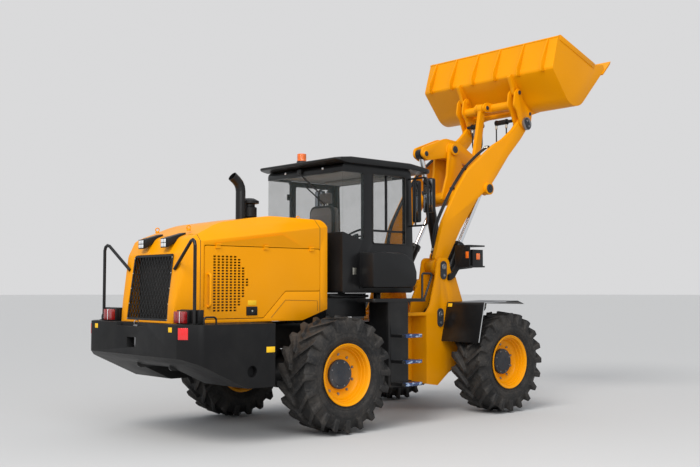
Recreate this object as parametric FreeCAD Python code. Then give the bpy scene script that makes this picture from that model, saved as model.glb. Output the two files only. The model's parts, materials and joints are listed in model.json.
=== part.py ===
import FreeCAD, Part
import math
import os

# An articulated wheel loader in the 3 tonne class, standing on its wheels with its bucket raised.
# Millimetres, +X forward, +Y left, +Z up. Places are written with the rear axle at X = 0 and
# the ground at Z = 0, and every piece is moved by origin_x as it is exported.

# Driving dimensions: wheels and axles
wheelbase = 2900.0
track = 2020.0
tyre_radius = 670.0
tyre_width = 500.0
rim_radius = 330.0
rim_flange_radius = 352.0
rim_flange_width = 20.0
rim_well_radius = 285.0
rim_half_width = 205.0
hub_radius = 165.0
hub_bore_radius = 70.0
wheel_fit = 0.05
bead_gap = 0.3
tread_depth = 46.0
lugs_per_side = 20
lug_inner_width = 44.0
lug_outer_width = 64.0
lug_draft = 8.0
lug_skew = 205.0
lug_cross = 16.0
shoulder_drop = 20.0
lug_low_drop = 110.0
bulge_radius = 430.0
bead_radius = 368.0
axle_tube_radius = 115.0
axle_bowl_radius = 235.0
axle_hub_radius = 150.0
axle_hub_length = 190.0
axle_z = tyre_radius
cradle_gap = 95.3

# Driving dimensions: articulation
steer_x = 1450.0
steer_pin_radius = 45.0
steer_lug_radius = 110.0
steer_lug_thickness = 50.0
steer_upper_z = 1150.0
steer_lower_z = 560.0
steer_gap = 5.0
fork_thickness = 40.0
pin_fit = 0.05

# Driving dimensions: rear frame
rear_rail_y = 330.0
rear_rail_thickness = 25.0
rear_rail_top_z = 1230.0
rear_rail_end_x = 780.0
hinge_box_y = 190.0
rear_wall_x = 1200.0
support_x = 1040.0
support_y = 615.0

# Driving dimensions: counterweight
weight_rear_x = -2050.0
weight_front_x = -960.0
weight_half_width = 1150.0
weight_top_z = 1275.0
weight_low_z = 600.0
tow_bore_radius = 22.0
tow_bore_inset = 62.0

# Driving dimensions: hood
hood_half_width = 640.0
hood_skin = 12.0
hood_low_z = weight_top_z + 0.3
hood_rear_x = -1870.0
hood_front_x = 200.0
hood_top_rear_z = 2200.0
hood_top_front_z = 2490.0
door_gap = 8.0
engine_door_top_z = 2115.0
engine_hinge_y = -655.0
engine_hinge_z = 2123.0
grille_top_z = 2020.0
door_handle_radius = 15.0
grille_pitch_x = 54.0
grille_pitch_z = 31.0
grille_columns = 9
grille_hole_length = 36.0
grille_hole_height = 18.0
mesh_pitch = 60.0
engine_top_z = 1900.0
exhaust_place = (-682.0, -94.0)
exhaust_radius = 58.0
exhaust_top_z = 2960.0
exhaust_reach = 120.0
cleaner_place = (-492.0, -4.0)
cleaner_top_z = 2728.0
cleaner_neck_radius = 62.0

# Driving dimensions: cab
cab_half_width = 740.0
cab_rear_x = 354.0
cab_front_x = 1570.0
cab_base_z = 1590.0
cab_top_z = 3160.0
cab_wall = 55.0
cab_pillar = 85.0
cab_sill_z = 2142.0
cab_lean = 30.0
glass_thickness = 6.0
glass_gap = 0.3
roof_overhang_side = 60.0
roof_overhang_front = 330.0
roof_thickness = 80.0
cab_door_thickness = 45.0
cab_hinge_x = 697.0
cab_hinge_y = cab_half_width + 14.0
beacon_place = (420.0, 120.0)
step_heights = (510.0, 780.0, 1090.0)

# Driving dimensions: front frame and tower
tower_outer_y = 600.0
tower_plate = 25.0
tower_inner_y = 325.0
boom_pivot = (2286.0, 1937.0)
lift_base = (2220.0, 1305.0)
tilt_base = (2850.0, 2082.0)
pivot_pin_radius = 45.0

# Driving dimensions: boom, rocker, links and cylinders, in the pose with the boom at full lift
boom_arm_y = 500.0
boom_arm_thickness = 60.0
boom_tip = (4152.0, 4090.0)
lift_rod_pin = (3306.0, 3065.0)
rocker_pivot = (3017.0, 3637.0)
rocker_rear = (2494.0, 3536.0)
rocker_front = (3640.0, 3400.0)
link_top = (3822.0, 4351.0)
cross_tube = (2945.0, 2930.0)
cross_tube_radius = 100.0
cross_tube_wall = 18.0
ear_inner_y = 110.0
ear_thickness = 40.0
rocker_plate_inner_y = 55.0
rocker_plate = 40.0
link_half_width = 48.0
lift_cyl_y = 420.0
lift_barrel_radius = 70.0
lift_barrel_bore = 56.0
lift_rod_radius = 36.0
lift_stroke = 793.0
tilt_barrel_radius = 74.0
tilt_barrel_bore = 60.0
tilt_rod_radius = 38.0
tilt_stroke = 314.0
rod_fit = 0.1
lift_eye_half = 35.0
tilt_ear_y = 92.0
boom_hub_radius = 118.0
boom_hub_inner_y = 345.0
boom_hub_outer_y = 570.0
tip_pin_radius = 40.0
tip_head_radius = 95.0
rocker_pin_radius = 40.0
rocker_head_radius = 80.0
pin_head = 30.0
link_head_radius = 105.0
link_pin_head = 9.5
steer_barrel_radius = 45.0
steer_barrel_bore = 34.0
steer_rod_radius = 22.0
steer_base_pin_radius = 20.0
steer_cyl_z = 860.0
steer_cyl_base = (850.0, 300.0)
steer_cyl_eye = (1560.0, 250.0)

# Driving dimensions: coupler and bucket, in the bucket's own directions from the boom tip pin:
# u runs forward along the bucket's floor and v stands square to it
bucket_roll = 45.0
bucket_half_width = 1250.0
bucket_plate = 16.0
bucket_end_plate = 20.0
coupler_inner_y = 430.0
coupler_outer_y = 545.0
coupler_plate = 25.0
coupler_tube = (76.0, 313.0)
coupler_tube_radius = 68.0
upper_pin = (208.0, 427.0)
lock_pin = (176.0, 49.0)
bucket_floor_v = -132.0
bucket_lip = (1560.0, bucket_floor_v)
rib_shares = (0.170, 0.527, 0.872)

front_axle_x = wheelbase
half_track = track / 2


def vec(x, y, z):
    return FreeCAD.Vector(x, y, z)


def bucket_point(u, v):
    """World X and Z of a point given along and square to the bucket's floor."""
    a = math.radians(bucket_roll)
    return (
        boom_tip[0] + u * math.cos(a) - v * math.sin(a),
        boom_tip[1] + u * math.sin(a) + v * math.cos(a),
    )


origin_x = (weight_rear_x + bucket_point(*bucket_lip)[0]) / 2


def rounded_wire(rows, place):
    """Closed wire through rows of a, b, corner radius, with each corner turned by an arc."""
    n = len(rows)
    edges = []
    ends = []
    for i in range(n):
        a, b, r = rows[i]
        pa, pb = rows[i - 1][:2]
        na, nb = rows[(i + 1) % n][:2]
        d0 = math.hypot(pa - a, pb - b)
        d1 = math.hypot(na - a, nb - b)
        u0 = ((pa - a) / d0, (pb - b) / d0)
        u1 = ((na - a) / d1, (nb - b) / d1)
        cosine = max(-1.0, min(1.0, u0[0] * u1[0] + u0[1] * u1[1]))
        half = math.acos(cosine) / 2
        if r <= 0 or half > math.pi / 2 - 0.01:
            ends.append(((a, b), None, (a, b)))
            continue
        t = min(r / math.tan(half), 0.49 * d0, 0.49 * d1)
        r = t * math.tan(half)
        bis = (u0[0] + u1[0], u0[1] + u1[1])
        length = math.hypot(*bis)
        centre = r / math.sin(half)
        mid = (
            a + bis[0] / length * (centre - r),
            b + bis[1] / length * (centre - r),
        )
        ends.append((
            (a + u0[0] * t, b + u0[1] * t),
            mid,
            (a + u1[0] * t, b + u1[1] * t),
        ))
    for i in range(n):
        start, mid, end = ends[i]
        if mid:
            edges.append(Part.Arc(place(*start), place(*mid), place(*end)).toShape())
        following = ends[(i + 1) % n][0]
        if math.hypot(following[0] - end[0], following[1] - end[1]) > 0.001:
            edges.append(Part.LineSegment(place(*end), place(*following)).toShape())
    return Part.Wire(edges)


def side_plate(rows, y0, y1):
    """Plate standing along X and Z. Rows are x, z, corner radius."""
    face = Part.Face(rounded_wire(rows, lambda a, b: vec(a, y0, b)))
    return face.extrude(vec(0, y1 - y0, 0))


def flat_plate(rows, z0, z1):
    """Plate lying flat. Rows are x, y, corner radius."""
    face = Part.Face(rounded_wire(rows, lambda a, b: vec(a, b, z0)))
    return face.extrude(vec(0, 0, z1 - z0))


def cross_plate(rows, x0, x1):
    """Plate standing across. Rows are y, z, corner radius."""
    face = Part.Face(rounded_wire(rows, lambda a, b: vec(x0, a, b)))
    return face.extrude(vec(x1 - x0, 0, 0))


def box(x0, x1, y0, y1, z0, z1):
    return Part.makeBox(x1 - x0, y1 - y0, z1 - z0, vec(x0, y0, z0))


def rod(start, end, radius):
    """Round bar from one point to another."""
    axis = end - start
    return Part.makeCylinder(radius, axis.Length, start, axis)


def pin_y(place, y0, y1, radius):
    """Round bar across the machine at X, Z."""
    return Part.makeCylinder(radius, y1 - y0, vec(place[0], y0, place[1]), vec(0, 1, 0))


def post_z(x, y, z0, z1, radius):
    return Part.makeCylinder(radius, z1 - z0, vec(x, y, z0))


def both_sides(shape):
    """A shape and its mirror image across the machine's middle plane."""
    return [shape, mirrored(shape)]


def mirrored(shape):
    return shape.mirror(vec(0, 0, 0), vec(0, 1, 0))


def fuse(shapes):
    first, *rest = shapes
    return first.multiFuse(rest).removeSplitter() if rest else first


def turned_points(points, bend, steps):
    """Points of a route whose corners are turned by arcs of a given radius, in short chords."""
    pts = [vec(*p) for p in points]
    route = [pts[0]]
    for i in range(1, len(pts) - 1):
        back = (pts[i - 1] - pts[i]).normalize()
        ahead = (pts[i + 1] - pts[i]).normalize()
        half = back.getAngle(ahead) / 2
        t = bend / math.tan(half)
        centre = pts[i] + (back + ahead).normalize() * (bend / math.sin(half))
        axis = back.cross(ahead).normalize()
        first = pts[i] + back * t - centre
        turn = math.degrees(math.pi - 2 * half)
        for k in range(steps + 1):
            spin = FreeCAD.Rotation(axis, -turn * k / steps)
            route.append(centre + spin.multVec(first))
    route.append(pts[-1])
    return route


def bent_tube(points, bend, radius, steps=3):
    """Round tube along straight runs joined by bends, each bend in short mitred pieces."""
    route = turned_points(points, bend, steps)
    pieces = []
    for i in range(len(route) - 1):
        start, end = route[i], route[i + 1]
        axis = (end - start).normalize()
        piece = rod(start - axis * radius, end + axis * radius, radius)
        for at, other in ((start, i - 1), (end, i + 2)):
            if 0 <= other < len(route):
                far = (route[other] - at).normalize()
                near = ((end if at == start else start) - at).normalize()
                normal = (far - near).normalize()
            else:
                normal = axis if at == end else axis * -1
            block = Part.makeBox(radius * 8, radius * 8, radius * 8,
                                 vec(-radius * 4, -radius * 4, 0))
            block.Placement = FreeCAD.Placement(at, FreeCAD.Rotation(vec(0, 0, 1), normal))
            piece = piece.cut(block)
        pieces.append(piece)
    return fuse(pieces)


def revolve_y(rows, x, z):
    """Ring turned about an axis across the machine. Rows are y, radius, corner radius."""
    face = Part.Face(rounded_wire(rows, lambda a, b: vec(x, a, z + b)))
    return face.revolve(vec(x, 0, z), vec(0, 1, 0), 360)


# Wheels


def tyre():
    """Tyre of flat facets with angled bar lugs, their middle ends leading upwards behind the wheel."""
    pitch = 360.0 / lugs_per_side
    count = 2 * lugs_per_side
    half = tyre_width / 2
    floor_radius = tyre_radius - tread_depth
    low = floor_radius - lug_low_drop
    bead = rim_half_width - bead_gap
    skew = math.degrees(lug_skew / floor_radius)
    inner = math.degrees(lug_inner_width / 2 / floor_radius)
    outer = math.degrees(lug_outer_width / 2 / floor_radius)
    draft = math.degrees(lug_draft / floor_radius)
    seat = (rim_radius + bead_gap) / math.cos(math.radians(pitch / 4))
    # y, radius, turn round the wheel and half spread of the two corners in each pitch
    floor_rows = [
        (lug_cross, floor_radius, 0.0, inner + draft),
        (half * 0.76, floor_radius - lug_draft, skew, outer + draft),
        (half * 0.96, low - lug_draft, skew, outer + draft),
        (half * 0.98, bulge_radius, skew, outer + draft),
        (bead, bead_radius, pitch, pitch / 4),
        (bead, seat, pitch, pitch / 4),
    ]
    top_rows = [
        (lug_cross, tyre_radius, 0.0, inner),
        (half, tyre_radius - shoulder_drop, skew, outer),
        (half, low, skew, outer),
    ]
    points = []
    facets = []

    def ring(y, radius, turn, spread):
        first = len(points)
        for i in range(lugs_per_side):
            for way in (-1, 1):
                a = math.radians(i * pitch + turn + way * spread)
                points.append(vec(radius * math.sin(a), y, radius * math.cos(a)))
        return list(range(first, len(points)))

    def quad(side, a, b, c, d):
        corners = (a, b, c, d) if side > 0 else (d, c, b, a)
        facets.append((corners[0], corners[1], corners[2]))
        facets.append((corners[0], corners[2], corners[3]))

    edges = []
    for side in (-1, 1):
        shift = pitch / 2 if side > 0 else 0.0
        floor = [ring(side * y, r, turn + shift, spread) for y, r, turn, spread in floor_rows]
        top = [ring(side * y, r, turn + shift, spread) for y, r, turn, spread in top_rows]
        for i in range(0, count, 2):
            k, n = i + 1, (i + 2) % count
            for j in range(len(top) - 1):
                quad(side, top[j][i], top[j][k], top[j + 1][k], top[j + 1][i])
                quad(side, floor[j][i], top[j][i], top[j + 1][i], floor[j + 1][i])
                quad(side, top[j][k], floor[j][k], floor[j + 1][k], top[j + 1][k])
                quad(side, floor[j][k], floor[j][n], floor[j + 1][n], floor[j + 1][k])
            quad(side, floor[0][i], floor[0][k], top[0][k], top[0][i])
            quad(side, top[-1][i], top[-1][k], floor[2][k], floor[2][i])
        for j in range(2, len(floor) - 1):
            for i in range(count):
                n = (i + 1) % count
                quad(side, floor[j][i], floor[j][n], floor[j + 1][n], floor[j + 1][i])
        edges.append((floor[0], floor[-1]))
    (mid_right, seat_right), (mid_left, seat_left) = edges
    for i in range(0, count, 2):
        k, n = i + 1, (i + 2) % count
        facets.append((mid_left[i - 1], mid_right[i], mid_right[k]))
        facets.append((mid_left[i - 1], mid_right[k], mid_left[i]))
        facets.append((mid_right[k], mid_left[k], mid_left[i]))
        facets.append((mid_right[k], mid_right[n], mid_left[k]))
    for i in range(count):
        n = (i + 1) % count
        quad(1, seat_right[n], seat_left[i], seat_left[n], seat_right[(i + 2) % count])
    skin = Part.Shape()
    skin.makeShapeFromMesh((points, facets), 0.01)
    shape = Part.makeSolid(skin)
    if shape.Volume < 0:
        shape.reverse()
    shape.translate(vec(0, 0, axle_z))
    return shape


def rim(x, y, side):
    """Wheel rim with a dished disc and hub, open behind. side is 1 on the left."""
    w = rim_half_width
    f = rim_flange_width
    rows = [
        (-w - f, rim_flange_radius, 0.0),
        (-w, rim_flange_radius, 0.0),
        (-w, rim_radius, 0.0),
        (w, rim_radius, 0.0),
        (w, rim_flange_radius, 0.0),
        (w + f, rim_flange_radius, 0.0),
        (w - 40.0, rim_well_radius, 0.0),
        (75.0, rim_well_radius - 15.0, 0.0),
        (48.0, hub_radius + 40.0, 0.0),
        (60.0, hub_radius, 0.0),
        (60.0, hub_bore_radius + wheel_fit, 0.0),
        (20.0, hub_bore_radius + wheel_fit, 0.0),
        (20.0, hub_radius + 40.0, 0.0),
        (40.0, rim_well_radius - 15.0, 0.0),
        (-w + 40.0, rim_well_radius, 0.0),
    ]
    rows = [(side * a, b, r) for a, b, r in rows]
    ring = revolve_y(rows, x, axle_z)
    ring.translate(vec(0, y, 0))
    return ring


def axle_bowl(x, grow):
    """Round differential housing, tapering into the axle tubes on each side."""
    r, tube = axle_bowl_radius + grow, axle_tube_radius * 0.8
    return revolve_y([
        (-r * 1.25, 0.0, 0.0), (-r * 1.25, tube, 0.0), (-r * 0.55, r * 0.85, 0.0), (-r * 0.25, r, 0.0),
        (r * 0.25, r, 0.0), (r * 0.55, r * 0.85, 0.0), (r * 1.25, tube, 0.0), (r * 1.25, 0.0, 0.0),
    ], x, axle_z)


def axle(x, towards):
    """Axle housing with its bowl, hub carriers and the spindles that the wheels turn on."""
    reach = half_track - axle_hub_length
    parts = [pin_y((x, axle_z), -reach, reach, axle_tube_radius)]
    parts.append(axle_bowl(x, 0.0))
    nose = rod(vec(x, 0, axle_z), vec(x + towards * 330.0, 0, axle_z), 95.0)
    parts.append(nose)
    for side in (-1, 1):
        inner = side * (reach - 40.0)
        outer = side * (half_track + 15.0)
        parts.append(pin_y((x, axle_z), min(inner, outer), max(inner, outer), axle_hub_radius))
        tip = side * (half_track + 62.0)
        parts.append(pin_y((x, axle_z), min(inner, tip), max(inner, tip), hub_bore_radius))
        cap = side * (half_track + 95.0)
        seat = side * (half_track + 60.0 + bead_gap)
        parts.append(pin_y((x, axle_z), min(seat, cap), max(seat, cap), hub_radius))
    return fuse(parts)


# Rear frame


def rear_frame():
    """Two deep side rails with cross members, axle cradles and the articulation lugs."""
    top = rear_rail_top_z
    rows = [
        (-1780.0, 760.0, 40.0),
        (-480.0, 760.0, 60.0),
        (-330.0, 940.0, 60.0),
        (330.0, 940.0, 60.0),
        (480.0, 640.0, 60.0),
        (rear_rail_end_x, steer_lower_z - 40.0, 0.0),
        (rear_rail_end_x, top, 0.0),
        (-1780.0, top, 40.0),
    ]
    y1 = rear_rail_y + rear_rail_thickness
    parts = both_sides(side_plate(rows, rear_rail_y, y1))
    for x in (-1760.0, -1010.0, -380.0, 350.0):
        low = 960.0 if abs(x) < 400.0 else 800.0
        parts.append(box(x, x + 30.0, -rear_rail_y - 1.0, rear_rail_y + 1.0, low, 1080.0))
    low = steer_lower_z - 40.0
    parts.append(box(rear_rail_end_x - 30.0, rear_rail_end_x, -y1, y1, low, top))
    parts.append(box(rear_wall_x - 30.0, rear_wall_x, -hinge_box_y, hinge_box_y, low, top))
    cheek = rear_rail_thickness
    parts += both_sides(box(rear_rail_end_x - 10.0, rear_wall_x,
                            -hinge_box_y, -hinge_box_y + cheek, low, top))
    parts.append(box(rear_rail_end_x - 10.0, rear_wall_x, -hinge_box_y, hinge_box_y, 1050.0, 1080.0))
    for z in (steer_upper_z, steer_lower_z):
        lug = flat_plate([
            (rear_wall_x - 20.0, -steer_lug_radius - 70.0, 0.0),
            (steer_x, -steer_lug_radius, 0.0),
            (steer_x, steer_lug_radius, 0.0),
            (rear_wall_x - 20.0, steer_lug_radius + 70.0, 0.0),
        ], z - steer_lug_thickness / 2, z + steer_lug_thickness / 2)
        eye = post_z(steer_x, 0, z - steer_lug_thickness / 2, z + steer_lug_thickness / 2,
                     steer_lug_radius)
        parts += [lug, eye]
    cradle_y = rear_rail_y + 1.0
    for x in (-290.0, 250.0):
        cradle = cross_plate([
            (-cradle_y, 1060.0, 0.0),
            (-cradle_y, 960.0, 0.0),
            (-200.0, axle_z + 130.0, 0.0),
            (-90.0, axle_z + cradle_gap, 0.0),
            (90.0, axle_z + cradle_gap, 0.0),
            (200.0, axle_z + 130.0, 0.0),
            (cradle_y, 960.0, 0.0),
            (cradle_y, 1060.0, 0.0),
        ], x, x + 40.0)
        parts.append(cradle)
    for side in (-1, 1):
        for z in (steer_cyl_z - 60.0, steer_cyl_z + 35.0):
            ear = flat_plate([
                (rear_rail_end_x - 5.0, side * (steer_cyl_base[1] - 85.0), 0.0),
                (rear_rail_end_x - 5.0, side * y1, 0.0),
                (steer_cyl_base[0] + 20.0, side * (steer_cyl_base[1] + 45.0), 30.0),
                (steer_cyl_base[0] + 45.0, side * steer_cyl_base[1], 30.0),
                (steer_cyl_base[0] + 20.0, side * (steer_cyl_base[1] - 45.0), 30.0),
            ], z, z + 25.0)
            parts.append(ear)
    shape = fuse(parts)
    bores = [
        post_z(steer_x, 0, z - 100.0, z + 100.0, steer_pin_radius + pin_fit)
        for z in (steer_upper_z, steer_lower_z)
    ]
    bores += both_sides(post_z(*steer_cyl_base, steer_cyl_z - 90.0, steer_cyl_z + 90.0,
                               steer_base_pin_radius + pin_fit))
    return shape.cut(Part.makeCompound(bores))


def frame_supports():
    """Rubber mounts, brackets and the side carriers of cab, tanks and counterweight."""
    y1 = rear_rail_y + rear_rail_thickness
    parts = []
    for x, root in ((440.0, y1), (support_x, hinge_box_y)):
        parts += both_sides(box(x, x + 120.0, root - 1.0, support_y, 1180.0, rear_rail_top_z))
        parts += both_sides(post_z(x + 60.0, 555.0, rear_rail_top_z - 5.0, cab_base_z - 0.3, 45.0))
    return parts


def rear_frame_with_supports():
    parts = [rear_frame()] + frame_supports()
    return fuse(parts)


# Counterweight and hood


def counterweight():
    """Cast weight with clipped rear corners, a rising underside, a tow recess and side pockets."""
    w = weight_half_width
    plan = [
        (weight_front_x, -w, 15.0),
        (weight_rear_x + 150.0, -w, 90.0),
        (weight_rear_x, -w + 225.0, 60.0),
        (weight_rear_x, w - 225.0, 60.0),
        (weight_rear_x + 150.0, w, 90.0),
        (weight_front_x, w, 15.0),
    ]
    body = flat_plate(plan, weight_low_z, weight_top_z)
    side = [
        (weight_rear_x - 50.0, weight_top_z + 50.0, 0.0),
        (weight_rear_x - 50.0, 940.0, 0.0),
        (weight_rear_x + 30.0, 925.0, 30.0),
        (-1330.0, weight_low_z, 60.0),
        (weight_front_x + 50.0, weight_low_z, 0.0),
        (weight_front_x + 50.0, weight_top_z + 50.0, 0.0),
    ]
    body = body.common(side_plate(side, -w - 50.0, w + 50.0))
    rail_y = rear_rail_y + rear_rail_thickness + 0.3
    channel = box(-1780.3, weight_front_x + 50.0, -rail_y, rail_y, 0.0, weight_top_z + 50.0)
    slot = box(weight_rear_x - 10.0, weight_rear_x + 130.0, -95.0, 95.0, 1010.0, 1120.0)
    step = box(weight_rear_x - 10.0, weight_rear_x + 55.0, -330.0, 330.0, 1235.0, weight_top_z + 10.0)
    tow_bore = post_z(weight_rear_x + tow_bore_inset, 0, 955.0, weight_top_z + 10.0, tow_bore_radius)
    pockets = both_sides(pin_y((-1270.0, 775.0), -w - 10.0, -w + 70.0, 62.0))
    return body.cut(Part.makeCompound([channel, slot, step, tow_bore] + pockets))


def slab_above(points):
    """Large block whose lower face passes through three points, used to slice a corner off."""
    a, b, c = [vec(*p) for p in points]
    normal = (b - a).cross(c - a).normalize()
    if normal.z < 0:
        normal = normal * -1
    block = Part.makeBox(6000.0, 6000.0, 2000.0, vec(-3000.0, -3000.0, 0.0))
    turn = FreeCAD.Rotation(vec(0, 0, 1), normal)
    block.Placement = FreeCAD.Placement(a, turn)
    return block


def hood_form(inset, floor_z):
    """Hood as a solid block: sloping rear, humped roof, clipped shoulders and tucked rear sides."""
    w = hood_half_width - inset
    rear = hood_rear_x + inset
    front = hood_front_x - inset
    profile = [
        (rear, floor_z, 0.0),
        (rear + 15.0, 1480.0, 60.0),
        (rear + 95.0, 2010.0, 120.0),
        (rear + 210.0, hood_top_rear_z - inset, 120.0),
        (-1240.0, hood_top_rear_z + 180.0 - inset, 900.0),
        (-520.0, hood_top_front_z - inset, 1200.0),
        (front, hood_top_front_z - 25.0 - inset, 60.0),
        (front, 1400.0 if inset == 0 else floor_z, 0.0),
        (-177.0 if inset == 0 else front - 50.0, floor_z, 0.0),
    ]
    body = side_plate(profile, -w, w)
    plan = [
        (rear - 50.0, -w + 110.0, 0.0),
        (-1580.0, -w, 150.0),
        (front + 50.0, -w, 0.0),
        (front + 50.0, w, 0.0),
        (-1580.0, w, 150.0),
        (rear - 50.0, w - 110.0, 0.0),
    ]
    body = body.common(flat_plate(plan, floor_z - 10.0, hood_top_front_z + 100.0))
    for side in (-1, 1):
        shoulder = slab_above([
            (-1600.0, side * w, 2150.0 - inset),
            (-497.0, side * w, 2290.0 - inset),
            (-497.0, side * (w - 190.0), 2290.0 + 190.0 - inset),
        ])
        body = body.cut(shoulder)
    return body


def door_outline(grow):
    """Engine door seen from the side, kept clear above the rear tyre: x, z, corner radius."""
    g = grow
    return [
        (-1545.0 - g, hood_low_z + 35.0 - g, 25.0),
        (-745.0 + g * 0.5, hood_low_z + 35.0 - g, 40.0),
        (-430.0 + g * 0.5, 1610.0 - g, 40.0),
        (90.0 + g, 1610.0 - g, 25.0),
        (90.0 + g, engine_door_top_z + g, 25.0),
        (-1545.0 - g, engine_door_top_z + g, 25.0),
    ]


def hood_shell():
    shell = hood_form(0.0, hood_low_z).cut(hood_form(hood_skin, hood_low_z - 60.0))
    w = hood_half_width
    openings = both_sides(side_plate(door_outline(0.0), -w - 20.0, -w + 40.0))
    openings.append(cross_plate([
        (-434.0, hood_low_z + 20.0, 10.0),
        (434.0, hood_low_z + 20.0, 10.0),
        (410.0, grille_top_z, 40.0),
        (-410.0, grille_top_z, 40.0),
    ], hood_rear_x - 50.0, hood_rear_x + 140.0))
    x, y = exhaust_place
    above = hood_top_front_z + 100.0
    openings.append(post_z(x, y, 2200.0, above, exhaust_radius + 12.0))
    x, y = cleaner_place
    openings.append(post_z(x, y, 2200.0, above, cleaner_neck_radius + 12.0))
    return shell.cut(Part.makeCompound(openings))


def engine_door(side):
    """Side door of the engine bay, hung along its top edge, with its punched air grille."""
    w = hood_half_width
    skin = hood_form(0.0, hood_low_z).cut(hood_form(hood_skin, hood_low_z - 60.0))
    panel = skin.common(side_plate(door_outline(-door_gap), -w - 20.0, -w + 40.0))
    cuts = []
    rows = int((2030.0 - 1385.0) / grille_pitch_z)
    for j in range(rows):
        z = 1395.0 + j * grille_pitch_z
        for i in range(grille_columns):
            x = -1425.0 + i * grille_pitch_x
            edge = -930.0 - abs(z - 1705.0) * 0.5
            if x + grille_hole_length < edge:
                cuts.append(box(x, x + grille_hole_length, -w - 20.0, -w + 30.0,
                                z, z + grille_hole_height))
    panel = panel.cut(Part.makeCompound(cuts))
    handle = bent_tube([
        (-1490.0, -w + 2.0, 1450.0),
        (-1490.0, -w - 50.0, 1450.0),
        (-1490.0, -w - 50.0, 1800.0),
        (-1490.0, -w + 2.0, 1800.0),
    ], 30.0, door_handle_radius)
    latch = box(-960.0, -860.0, -w - 6.0, -w + 1.0, 1350.0, 1440.0)
    knuckles = []
    for x in (-1400.0, -750.0, -80.0):
        knuckles.append(rod(vec(x, engine_hinge_y, engine_hinge_z),
                            vec(x + 60.0, engine_hinge_y, engine_hinge_z), 9.0))
        knuckles.append(box(x, x + 60.0, engine_hinge_y, -w - 0.6,
                            engine_hinge_z - 40.0, engine_hinge_z))
        knuckles.append(box(x, x + 60.0, -w - 1.0, -w + 2.0,
                            engine_hinge_z - 40.0, engine_door_top_z - door_gap - 2.0))
    shape = fuse([panel, handle, latch] + knuckles)
    return mirrored(shape) if side > 0 else shape


def rear_grille():
    """Mesh panel in the rear opening: a flat frame with crossing diagonal strips."""
    lean = math.atan2(80.0, 704.0)
    w = 433.5
    low = hood_low_z + 22.6
    high = grille_top_z - 0.5
    frame_rows = [(-w, low, 12.0), (w, low, 12.0), (w - 24.0, high, 40.0), (24.0 - w, high, 40.0)]
    inner_rows = [
        (-w + 22.0, low + 22.0, 6.0),
        (w - 22.0, low + 22.0, 6.0),
        (w - 45.0, high - 22.0, 12.0),
        (45.0 - w, high - 22.0, 12.0),
    ]
    x = hood_rear_x + 4.0
    rim_plate = cross_plate(frame_rows, x, x + 14.0).cut(cross_plate(inner_rows, x - 1.0, x + 20.0))
    field = cross_plate(frame_rows, x + 4.0, x + 9.0)
    strips = []
    height = high - low
    for i in range(-9, 19):
        y = -w + i * mesh_pitch
        for lean_y in (height * 0.62, -height * 0.62):
            strip = cross_plate([
                (y - 4.0, low, 0.0),
                (y + 4.0, low, 0.0),
                (y + 4.0 + lean_y, high, 0.0),
                (y - 4.0 + lean_y, high, 0.0),
            ], x + 4.0, x + 9.0)
            strips.append(strip.common(field))
    strips = [s for s in strips if s.Volume > 1.0]
    grille = rim_plate.multiFuse(strips)
    grille.rotate(vec(x, 0, low), vec(0, 1, 0), math.degrees(lean))
    return grille


# Engine bay


def engine():
    return box(-1350.0, -350.0, -290.0, 290.0, 1080.3, engine_top_z)


def radiator():
    core = box(-1690.0, -1580.0, -400.0, 400.0, hood_low_z, 2050.0)
    side_rails = both_sides(box(-1710.0, -1560.0, -425.0, -399.0, hood_low_z, 2060.0))
    return fuse([core] + side_rails)


def transmission():
    return box(300.0, rear_rail_end_x - 40.0, -280.0, 280.0, 1080.3, 1480.0)


def exhaust():
    """Stack with a swept tip that opens to the rear."""
    x, y = exhaust_place
    elbow = (x, y, exhaust_top_z - 90.0)
    outer = bent_tube([
        (x, y, engine_top_z + 0.3), elbow, (x - exhaust_reach, y, exhaust_top_z),
    ], 160.0, exhaust_radius)
    inner = bent_tube([
        (x, y, engine_top_z + 100.0), elbow, (x - exhaust_reach * 1.1, y, exhaust_top_z + 9.0),
    ], 160.0, exhaust_radius - 5.0)
    return outer.cut(inner)


def air_cleaner():
    """Mushroom shaped air intake standing on its duct."""
    x, y = cleaner_place
    foot, top = engine_top_z + 0.3, cleaner_top_z
    rows = [
        (0.0, foot, 0.0), (cleaner_neck_radius, foot, 0.0), (cleaner_neck_radius, top - 236.0, 0.0),
        (92.0, top - 226.0, 0.0), (92.0, top - 116.0, 0.0), (70.0, top - 106.0, 0.0),
        (70.0, top - 76.0, 0.0),
        (118.0, top - 66.0, 0.0), (118.0, top - 36.0, 0.0), (60.0, top - 6.0, 0.0), (0.0, top, 0.0),
    ]
    face = Part.Face(rounded_wire(rows, lambda a, b: vec(x + a, y, b)))
    return face.revolve(vec(x, y, 0), vec(0, 0, 1), 360)


# Cab


def cab_outline(inset):
    """Cab seen from the side: x, z, corner radius."""
    return [
        (cab_rear_x + inset, cab_base_z + inset, 30.0),
        (cab_front_x - inset, cab_base_z + inset, 60.0),
        (cab_front_x - 10.0 - inset, cab_sill_z, 40.0),
        (cab_front_x - 10.0 - cab_lean - inset, cab_top_z - inset, 60.0),
        (cab_rear_x + inset, cab_top_z - inset, 60.0),
    ]


quarter_front_x = 705.0
quarter_low_z = (2325.0, 2225.0)
window_top_z = 3060.0
side_window = (861.0, 1425.0, 2204.0, window_top_z)
cab_door_opening = (705.0, 1480.0, 1650.0, 3085.0)
cab_door_window = (790.0, 1395.0, 1950.0, 3010.0)


def window_rows(window, shrink):
    x0, x1, z0, z1 = window
    s = shrink
    return [(x0 + s, z0 + s, 25.0), (x1 - s, z0 + s, 25.0), (x1 - s, z1 - s, 25.0), (x0 + s, z1 - s, 25.0)]


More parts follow.
